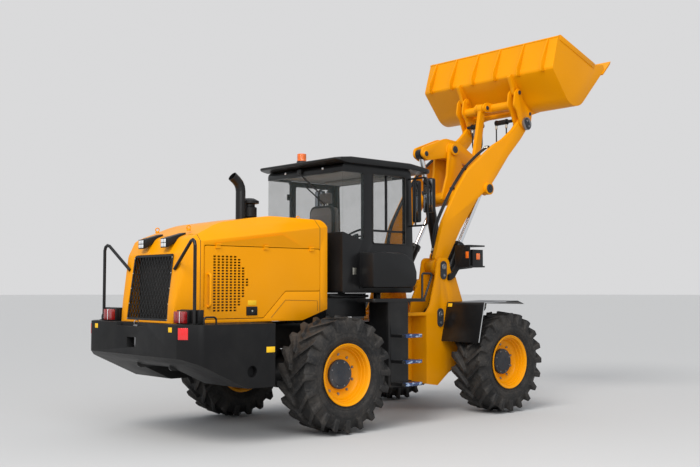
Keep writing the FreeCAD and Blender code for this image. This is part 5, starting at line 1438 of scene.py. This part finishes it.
@dataclass
class Seat:
    """Padded cushions, swelled by a cloth simulation and piped along their edges."""

    shop: Workshop
    voxel: float = 0.007
    pressure: float = 4.0
    cap: float = 0.012
    frames: int = 20

    def inflate(self, form: Form) -> bpy.types.Mesh:
        """Remeshes a form evenly and fills it with air.

        Args:
            form: The cushion's plain shape.

        Returns:
            The swelled mesh.
        """
        mesh = bpy.data.meshes.new("pad")
        form.done().to_mesh(mesh)
        form.work.free()
        pad = bpy.data.objects.new("pad", mesh)
        scene = bpy.context.scene
        scene.collection.objects.link(pad)
        even = pad.modifiers.new("even", "REMESH")
        even.mode = "VOXEL"
        even.voxel_size = self.voxel
        graph = bpy.context.evaluated_depsgraph_get()
        fine = bpy.data.meshes.new_from_object(pad.evaluated_get(graph))
        pad.modifiers.remove(even)
        pad.data = fine
        rest = [v.co.copy() for v in fine.vertices]
        fill = pad.modifiers.new("fill", "CLOTH")
        fill.settings.use_pressure = True
        fill.settings.uniform_pressure_force = self.pressure
        fill.settings.effector_weights.gravity = 0.0
        fill.settings.quality = 5
        fill.collision_settings.use_collision = False
        for number in range(1, self.frames + 1):
            scene.frame_set(number)
        graph = bpy.context.evaluated_depsgraph_get()
        swelled = bpy.data.meshes.new_from_object(pad.evaluated_get(graph))
        for vertex, start in zip(swelled.vertices, rest):
            step = vertex.co - start
            if step.length > self.cap:
                vertex.co = start + step.normalized() * self.cap
        scene.frame_set(1)
        pad.modifiers.clear()
        fine = swelled
        bpy.data.objects.remove(pad)
        return fine

    def cushion(self, name: str, form: Form, replaces: Sequence[str] = ()) -> None:
        """One padded piece of the seat.

        Args:
            name: Its name.
            form: Its plain shape.
            replaces: CAD nodes that it stands for.
        """
        mesh = self.inflate(form)
        work = bmesh.new()
        work.from_mesh(mesh)
        bmesh.ops.smooth_vert(work, verts=work.verts, factor=0.5, use_axis_x=True, use_axis_y=True,
                              use_axis_z=True)
        made = self.shop.piece(name, work, "rear_machine", Slot.CLOTH, replaces, 60.0)

    def build(self) -> None:
        """Base, back and head cushions with their piping."""
        self.cushion("seat_base_cushion", Form().block((703, -236, 2030), (1076, 236, 2102), 26.0),
                     ("seat_cushions",))
        back = Form().slab([(700, -222, 2134), (790, -222, 2134), (764, -222, 2672), (700, -222, 2690)],
                           (0, 444, 0), 26.0)
        self.cushion("seat_back_cushion", back)
        head = Form().slab([(700, -112, 2724), (752, -112, 2724), (744, -112, 2870), (700, -112, 2870)],
                           (0, 224, 0), 20.0)
        self.cushion("seat_head_cushion", head)
        piping = Form()
        piping.pipe([(788, -215, 2150), (794, -120, 2150), (794, 120, 2150), (788, 215, 2150),
                     (776, 212, 2400), (766, 200, 2660), (766, -200, 2660), (776, -212, 2400)],
                    4.0, closed=True)
        for z in (2280.0, 2420.0, 2560.0):
            piping.pipe([(792 - (z - 2134) * 0.045, -200, z), (797 - (z - 2134) * 0.045, 0, z),
                         (792 - (z - 2134) * 0.045, 200, z)], 3.0)
        self.shop.form("seat_piping", piping, "rear_machine", Slot.CLOTH, (), 60.0)
        shell = Form().slab([(642, y, z) for y, z in rounded(-232, 232, 1995, 2700, 95)], (48, 0, 0), 14.0)
        shell.block((644, -252, 1988), (1078, 252, 2020), 14.0)
        for k in range(6):
            shell.block((700, -178, 1712 + 46 * k), (1000, 178, 1750 + 46 * k), 17.0)
        shell.block((690, -200, 1650), (1010, 200, 1712), 12.0)
        shell.block((720, -150, 1700), (980, 150, 1990), 6.0)
        self.shop.form("seat_shell", shell, "rear_machine", Slot.PLASTIC, ("operator_seat",))
        cover = Form().slab([(636, y, z) for y, z in rounded(-205, 205, 2060, 2670, 80)], (8, 0, 0), 3.0)
        for z in (2240.0, 2380.0, 2520.0):
            cover.block((632, -200, z - 60), (640, 200, z + 60), 3.0)
        self.shop.form("seat_back_cover", cover, "rear_machine", Slot.CLOTH)
        posts = Form()
        for y in (-45.0, 45.0):
            posts.turned((712, y, 2660), (0, 0, 1), ((0, 0), (0, 6), (90, 6), (90, 0)), 16)
        self.shop.form("head_rest_posts", posts, "rear_machine", Extra.ZINC)


@dataclass
class Sides:
    """Film on the steps, trim on the fenders and head lamp lenses."""

    shop: Workshop
    step_heights: tuple[float, ...] = (510.0, 780.0, 1090.0)
    tread_front: float = 1300.0
    tread_top: float = 1130.0
    tread_root: float = 940.0
    tread_cut: float = 130.0
    fender_front: float = 3250.0
    fender_cut: float = 250.0

    def ladders(self) -> None:
        """Both ladders, their treads ending level with the tank's front."""
        for name in ("right", "left"):
            work = merged_copy("steps_" + name)
            for vertex in work.verts:
                ahead = vertex.co - at(self.tread_front, 0, self.tread_top)
                if ahead.x > 0 > ahead.z and abs(vertex.co.y) > self.tread_root * MM:
                    vertex.co.x -= self.tread_cut * MM
            round_edges(work, 0.004)
            self.shop.piece(f"steps_{name}_skin", work, "rear_machine", Slot.BLACK, ("steps_" + name,))

    def steps(self) -> None:
        """Wrapped tread edges and raised tread studs."""
        film, studs = Form(), Form()
        for z in self.step_heights:
            film.block((960, -1206, z - 40), (1371 - self.tread_cut, -1140, z + 3), 7.0)
            for i in range(5):
                for j in range(3):
                    studs.turned((955 + 60 * i, -1105 + 42 * j, z - 1), (0, 0, 1),
                                 ((0, 0), (0, 9), (4, 7), (4, 0)), 10)
        self.shop.form("step_film", film.mirror(), "rear_machine", Extra.FILM)
        self.shop.form("step_studs", studs.mirror(), "rear_machine", Slot.BLACK)
        # Black skirt panels under the cab, with bolts and a hose: painted shade, a dark sheet that fills the
        # gap between the cab and the frame where shadow falls.
        painted_shade_skirt = Form().slab([(212, -604, 1300), (862, -604, 1300), (862, -604, 1586), (212, -604, 1586)],
                            (0, 6, 0), 1.5)
        for x in (250.0, 540.0, 825.0):
            for z in (1330.0, 1556.0):
                painted_shade_skirt.bolt((x, -604, z), (0, -1, 0), 18.0)
        painted_shade_skirt.pipe([(230, -640, 1560), (380, -652, 1545), (560, -640, 1556), (700, -655, 1540),
                    (860, -640, 1552)], 16.0)
        self.shop.form("cab_painted_shade_skirts", painted_shade_skirt.mirror(), "rear_machine", Slot.BLACK)

    def fenders(self) -> None:
        """Edge trim and fixing bolts of the front fenders."""
        work = merged_copy("front_fenders")
        for vertex in work.verts:
            if vertex.co.x > at(self.fender_front, 0, 0).x:
                vertex.co.x -= self.fender_cut * MM
        round_edges(work, 0.002)
        self.shop.piece("front_fenders_skin", work, "front_machine", Slot.BLACK, ("front_fenders",))
        label = Form().slab([(2345.6, -700, 1400), (2345.6, -625, 1400), (2356.2, -625, 1445),
                             (2356.2, -700, 1445)], (-2, 0, 0.5), 0.5)
        self.shop.form("fender_blank_plates", label.mirror(), "front_machine", Extra.BLANK)
        trim = Form().pipe([(2243, -1251, 950), (2364, -1251, 1459), (2800, -1251, 1468)], 6.0, straight=True)
        self.shop.form("fender_trim", trim.mirror(), "front_machine", Extra.TRIM)
        bolts = Form()
        for x, z in ((2330, 1120), (2345, 1250), (2420, 1405), (2760, 1410), (3150, 1405)):
            bolts.bolt((x, -606.6, z), (0, -1, 0), 20.0)
        self.shop.form("fender_bolts", bolts.mirror(), "front_machine", Extra.ZINC)

    def head_lamps(self) -> None:
        """Lenses in the front lamps and amber indicators on their sides."""
        lens = Form()
        for y, radius in ((-695.0, 42.0), (-785.0, 42.0)):
            rows = ((0, 0), (0, radius), (6, radius), (12, radius * 0.8), (15, 0))
            lens.turned((2829, y, 2060), (1, 0, 0), rows, 40)
        self.shop.form("head_lamp_lenses", lens.mirror(), "front_machine", Extra.CLEAR)
        amber = Form().block((2690, -845, 2035), (2760, -833, 2120), 5.0)
        amber.block((2512, -850, 2050), (2521, -800, 2140), 4.0)
        self.shop.form("indicators", amber.mirror(), "front_machine", Slot.AMBER)

    def build(self) -> None:
        """The trim of both sides."""
        self.ladders()
        self.steps()
        self.fenders()
        self.head_lamps()


def rounded(u0: float, u1: float, v0: float, v1: float, radius: float) -> list[tuple[float, float]]:
    """Outline of a rectangle with round corners.

    Args:
        u0: Lower limit along the first axis.
        u1: Upper limit along the first axis.
        v0: Lower limit along the second axis.
        v1: Upper limit along the second axis.
        radius: Radius of its corners.

    Returns:
        The outline's pairs, counter-clockwise.
    """
    centres = ((u1 - radius, v1 - radius), (u0 + radius, v1 - radius), (u0 + radius, v0 + radius),
               (u1 - radius, v0 + radius))
    return [(cu + radius * math.cos(a), cv + radius * math.sin(a))
            for quarter, (cu, cv) in enumerate(centres)
            for a in (math.radians(90.0 * quarter + 18.0 * k) for k in range(6))]


def capsule(centre: tuple[float, float], angle: float, length: float, radius: float,
            y: float) -> list[tuple[float, float, float]]:
    """Outline of a plate with round ends.

    Args:
        centre: X and Z of its middle.
        angle: Its direction from +X towards +Z, in degrees.
        length: Distance between the centres of its ends.
        radius: Radius of its ends.
        y: The plane that it lies in.

    Returns:
        The outline's places.
    """
    turn = math.radians(angle)
    points = []
    for end in (1, -1):
        for k in range(9):
            a = math.radians(-90.0 + 22.5 * k) + (0.0 if end > 0 else math.pi)
            along, across = end * length / 2 + radius * math.cos(a), radius * math.sin(a)
            points.append((centre[0] + along * math.cos(turn) - across * math.sin(turn), y,
                           centre[1] + along * math.sin(turn) + across * math.cos(turn)))
    return points


@dataclass
class Linkage:
    """Pin keepers, weld beads and pipes of the boom, the rocker and the cylinders."""

    shop: Workshop
    pivots: dict[str, tuple[float, float]] = field(default_factory=lambda: {
        "boom": (2286.0, 1937.0), "lift_base": (2220.0, 1305.0), "tip": (4152.0, 4090.0),
        "lift_rod": (3306.0, 3065.0), "rocker": (3017.0, 3637.0), "rocker_rear": (2494.0, 3536.0),
        "cross": (2945.0, 2930.0), "link_top": (3822.0, 4351.0)})
    tip_plate_angle: float = 118.0
    tip_screw_reach: float = 44.0
    bucket_roll: float = math.radians(45.0)

    def disc(self, form: Form, name: str, y: float, radius: float, across: float) -> None:
        """Adds a pin end with its screw, on the right side.

        Args:
            form: The form that it is added to.
            name: The pivot's name.
            y: The plane that it is seated on.
            radius: Its radius.
            across: Width of the screw's head across its flats.
        """
        x, z = self.pivots[name]
        form.turned((x, y, z), (0, -1, 0), ((-1, 0), (-1, radius), (3, radius), (6, radius - 4), (6, 0)), 40)
        form.bolt((x, y - 6, z), (0, -1, 0), across)

    def keepers(self) -> None:
        """Dark pin ends and lock plates with their screws."""
        tower = Form()
        for name in ("boom", "lift_base"):
            x, z = self.pivots[name]
            tower.turned((x, -615.5, z), (0, -1, 0),
                         ((0, 0), (0, 40), (5, 40), (8, 36), (8, 14), (4, 10), (4, 0)), 40)
            tower.bolt((x, -616, z - 118), (0, -1, 0), 30.0)
        self.shop.form("tower_pin_screws", tower.mirror(), "front_machine", Slot.STEEL)
        outline = capsule(self.pivots["tip"], self.tip_plate_angle, 84.0, 44.0, -600.2)
        tips = Form().slab(outline, (0, -10, 0), 2.5)
        self.shop.form("tip_lock_plates", tips.mirror(), "boom_tip", Extra.LOCK)
        screws = Form()
        x, z = self.pivots["tip"]
        a = math.radians(self.tip_plate_angle)
        for reach in (-self.tip_screw_reach, self.tip_screw_reach):
            screws.bolt((x + reach * math.cos(a), -610.2, z + reach * math.sin(a)), (0, -1, 0), 24.0)
        self.shop.form("tip_lock_screws", screws.mirror(), "boom_tip", Slot.STEEL)
        for name, body, y, radius in (("rocker", "rocker_axle", -180.2, 52.0),
                                      ("rocker_rear", "rocker_body", -107.2, 36.0)):
            dark = Form()
            self.disc(dark, name, y, radius, 26.0)
            self.shop.form(f"{name}_pin_ends", dark.mirror(), body, Extra.LOCK)
        x, z = self.pivots["rocker_rear"]
        eye = Form().turned((x, 0, z), (0, 1, 0),
                            ((-45.8, 34), (-45.8, 73.5), (45.8, 73.5), (45.8, 34)), 56, True)
        self.shop.form("tilt_rod_eye", eye, "tilt_rod_body", Slot.BLACK)
        collar = Form().turned((self.pivots["rocker"][0], -149.8, self.pivots["rocker"][1]), (0, -1, 0),
                               ((0.2, 46), (0.2, 84), (26, 84), (31, 79), (31, 53), (28, 46)), 56, True)
        self.shop.form("rocker_pin_collars", collar.mirror(), "rocker_axle", Slot.YELLOW)
        rod_ends = Form()
        x, z = self.pivots["lift_rod"]
        rod_ends.turned((x, -570.4, z), (0, -1, 0),
                        ((0, 0), (0, 62), (10, 62), (14, 57), (14, 30), (8, 26), (8, 0)), 40)
        rod_ends.bolt((x, -578, z), (0, -1, 0), 26.0)
        self.shop.form("lift_rod_pin_ends", rod_ends.mirror(), "boom_body", Extra.LOCK)

    def coupler_ends(self) -> None:
        """Dark ends of the coupler's pins and the lock cylinder."""
        form = Form()
        for u, v, radius in ((208.0, 427.0, 33.0), (176.0, 49.0, 27.0)):
            x, _, z = self.on_tool(u, v, 0)
            form.turned((x, -578.2, z), (0, -1, 0),
                        ((0, 0), (0, radius), (4, radius), (7, radius - 4), (7, 0)), 32)
            form.bolt((x, -585, z), (0, -1, 0), 20.0)
        self.shop.form("coupler_pin_ends", form.mirror(), "tool", Extra.LOCK)
        lock = Form().turned((3997.0, 0, 4134.0), (0, -1, 0), (
            (128, 0), (128, 38), (132, 44), (150, 44), (152, 38), (318, 38), (320, 44), (342, 44),
            (346, 24), (429, 24), (429, 0)), 40)
        self.shop.form("coupler_lock_cylinders", lock.mirror(), "tool", Slot.BLACK)
        x, z = self.pivots["link_top"]
        eye = Form().turned((x, -110.2, z), (0, -1, 0), ((0, 0), (0, 32), (4, 32), (7, 28), (7, 0)), 32)
        eye.bolt((x, -117, z), (0, -1, 0), 20.0)
        self.shop.form("link_top_pin_ends", eye.mirror(), "tool", Extra.LOCK)

    def bucket_edges(self) -> None:
        """Strips with their bolts on the bucket's side edges."""
        top, foot, inward = Vector((803, 893)), Vector((1198, 94)), Vector((-71.8, -35.4))
        strip = Form().slab([self.on_tool(*c, -1250.2) for c in (top, foot, foot + inward, top + inward)],
                            (0, -8, 0), 1.5)
        bolts = Form()
        for share in (0.06, 0.45, 0.84, 0.96):
            u, v = top.lerp(foot, share) + inward / 2
            bolts.bolt(self.on_tool(u, v, -1252 if share < 0.9 else -1258), (0, -1, 0), 8.0)
        self.shop.form("bucket_edge_strips", strip.mirror(), "tool", Slot.YELLOW)
        self.shop.form("bucket_edge_bolts", bolts.mirror(), "tool", Slot.STEEL)

    def on_tool(self, u: float, v: float, y: float) -> tuple[float, float, float]:
        """Turns a place on the tool into one on the machine.

        Args:
            u: Millimetres along the bucket's floor from the boom's tip pin.
            v: Millimetres square to the floor.
            y: Millimetres to the left.

        Returns:
            The place.
        """
        x, z = self.pivots["tip"]
        c = math.cos(self.bucket_roll)
        return (x + c * (u - v), y, z + c * (u + v))

    def welds(self) -> None:
        """Weld beads round the boom's cross tube and at the arms' bosses."""
        form = Form()
        bead = ring(0.0, 101.5, 4.5, 8)
        x, z = self.pivots["cross"]
        for y in (-469.0, -151.0, -109.0):
            form.turned((x, y, z), (0, 1, 0), bead, 56, True)
        bead = [(a, r - 12.0) for a, r in bead]
        x, z = self.pivots["lift_rod"]
        form.turned((x, -469.0, z), (0, 1, 0), bead, 56, True)
        self.shop.form("boom_welds", form.mirror(), "boom_body", Slot.YELLOW, (), 50.0)

    def pipes(self) -> None:
        """Steel pipes beside the lift cylinders and clips along the boom's arms."""
        form = Form()
        g, d = self.pivots["lift_base"], self.pivots["lift_rod"]
        length = math.hypot(d[0] - g[0], d[1] - g[1])
        ux, uz = (d[0] - g[0]) / length, (d[1] - g[1]) / length

        def beside(s: float, out: float, y: float) -> tuple[float, float, float]:
            """A place beside the cylinder's line.

            Args:
                s: Millimetres along the line from its base.
                out: Millimetres to its rear side.
                y: Millimetres to the left.

            Returns:
                The place.
            """
            return (g[0] + ux * s - uz * out, y, g[1] + uz * s + ux * out)
        run = ((150, 66), (150, 100), (190, 100), (1020, 100), (1060, 100), (1060, 74))
        form.pipe([beside(s, out, -420) for s, out in run], 11.0)
        for s in (400.0, 760.0):
            low, high = beside(s, 84, -440), beside(s, 84, -400)
            centre = [(a + b) / 2 for a, b in zip(low, high)]
            form.block((centre[0] - 18, -438, centre[2] - 18), (centre[0] + 18, -402, centre[2] + 18), 5.0,
                       Matrix.Rotation(-math.atan2(uz, ux), 4, "Y"))
        self.shop.form("lift_cylinder_pipes", form.mirror(), "lift_barrel_pair", Slot.BLACK)

    def build(self) -> None:
        """The linkage's trim."""
        self.keepers()
        self.coupler_ends()
        self.bucket_edges()
        self.welds()
        self.pipes()


@dataclass
class Hoses:
    """Hydraulic hoses, each on the one body that both its ends are fixed to."""

    shop: Workshop
    arm_length: float = 1.99
    diameter: float = 0.026
    loop_diameter: float = 0.020
    loop_port: tuple[float, float] = (3990.0, 4066.0)
    loop_drop: float = 200.0

    def lay(self, name: str, points: Sequence[Sequence[float]], length: float | None, body: str,
            lay: str = "loose", diameter: float | None = None) -> None:
        """Lays one hose.

        Args:
            name: Its name.
            points: Control points in millimetres.
            length: Its length in metres, or None to take the line's own.
            body: The body that it rides on.
            lay: Not used.
            diameter: Its diameter in metres, or None for the arm hoses' own.
        """
        thick = diameter or self.diameter
        curve = route([at(*p) for p in points], thick / 2)
        curve.name = name
        made = bpy.data.objects.new(name, curve)
        bpy.context.scene.collection.objects.link(made)
        self.shop.dress(made, body, Extra.HOSE)
        drawn = curve.splines[0].calc_length()
        LOG.info("%s: %.3f m drawn", name, drawn)
        tuple(at(*points[0]))
        length or round(drawn, 3)

    def fitting(self, form: Form, place: Sequence[float], way: Sequence[float]) -> None:
        """Adds a crimped ferrule and nut at a hose's end.

        Args:
            form: The form that it is added to.
            place: The hose's end.
            way: The way that the hose leaves it.
        """
        nut = ((-14, 0), (-14, 17), (0, 17), (2, 16), (14, 16))
        ferrule = ((16, 18), (20, 16), (24, 18), (28, 16), (32, 18), (36, 16), (40, 14), (40, 0))
        form.turned(place, way, nut + ferrule, 18)

    def build(self) -> None:
        """Arm hoses on the boom and loops on the coupler."""
        fittings = Form()
        for side, name in ((-1, "right"), (1, "left")):
            for i, (y, lift) in enumerate(((456.0, 6.0), (424.0, 0.0))):
                route_points = ((2268, 2150), (2262, 2230), (2290, 2420), (2352, 2580), (2490, 2800),
                                (2655, 3045 + lift), (2790, 3200), (2905, 3335 + lift), (3080, 3470),
                                (3270, 3610), (3400, 3680))
                points = [(x, side * y, z) for x, z in route_points]
                self.lay(f"arm_hose_{name}_{i + 1}", points, self.arm_length, "boom_body")
                self.fitting(fittings, points[0], (-0.07, 0, 1))
                self.fitting(fittings, points[-1], (-0.88, 0, -0.47))
        clamps = Form()
        for side in (-1, 1):
            for x, z in ((2268.0, 2140.0), (3410.0, 3685.0), (2655.0, 3030.0), (2905.0, 3320.0)):
                y0, y1 = sorted((side * 404.0, side * 475.0))
                clamps.block((x - 17, y0, z - 17), (x + 17, y1, z + 17), 5.0)
        self.shop.form("hose_clamps", clamps, "boom_body", Slot.BLACK)
        self.shop.form("hose_fittings", fittings, "boom_body", Extra.ZINC, (), 50.0)
        self.loops()

    def loops(self) -> None:
        """Hanging loops between the ports of each lock cylinder of the coupler."""
        ports = Form()
        x, z = self.loop_port
        for i, (start, end) in enumerate(((-331.0, -141.0), (141.0, 331.0))):
            middle, radius = (start + end) / 2, (end - start) / 2
            foot = z - self.loop_drop
            run = [(x, start, z - 50.0 * k) for k in range(int(self.loop_drop / 50.0) + 1)]
            bend = [(x, middle + radius * math.cos(a), foot - 25.0 + radius * math.sin(a))
                    for a in (math.radians(180.0 + 30.0 * k) for k in range(7))]
            points = run + bend + [(x, end, place[2]) for place in reversed(run)]
            self.lay(f"coupler_hose_{i + 1}", points, None, "tool", "hanging", self.loop_diameter)
            for y in (start, end):
                self.fitting(ports, (x, y, z + 12), (0, 0, -1))
        self.shop.form("coupler_ports", ports, "tool", Extra.ZINC, (), 50.0)


def main() -> None:
    """Builds the studio and the machine."""
    logging.basicConfig(level=logging.INFO, format="%(name)s %(message)s")
    shop = Workshop()
    replaced = {f"rim_{end}_{side}" for end in ("rear", "front") for side in ("left", "right")}
    replaced |= {"rear_lamps", "beacon", "seat_cushions", "operator_seat", "steps_right", "steps_left",
                 "front_fenders", "side_box"}
    for part in (Studio(), Nodes(shop, replaced), Wheels(shop), Hood(shop), Rear(shop), Cab(shop),
                 Seat(shop), Sides(shop), Linkage(shop), Hoses(shop)):
        part.build()
        LOG.info("%s is built", type(part).__name__)


if __name__ == "__main__":
    main()
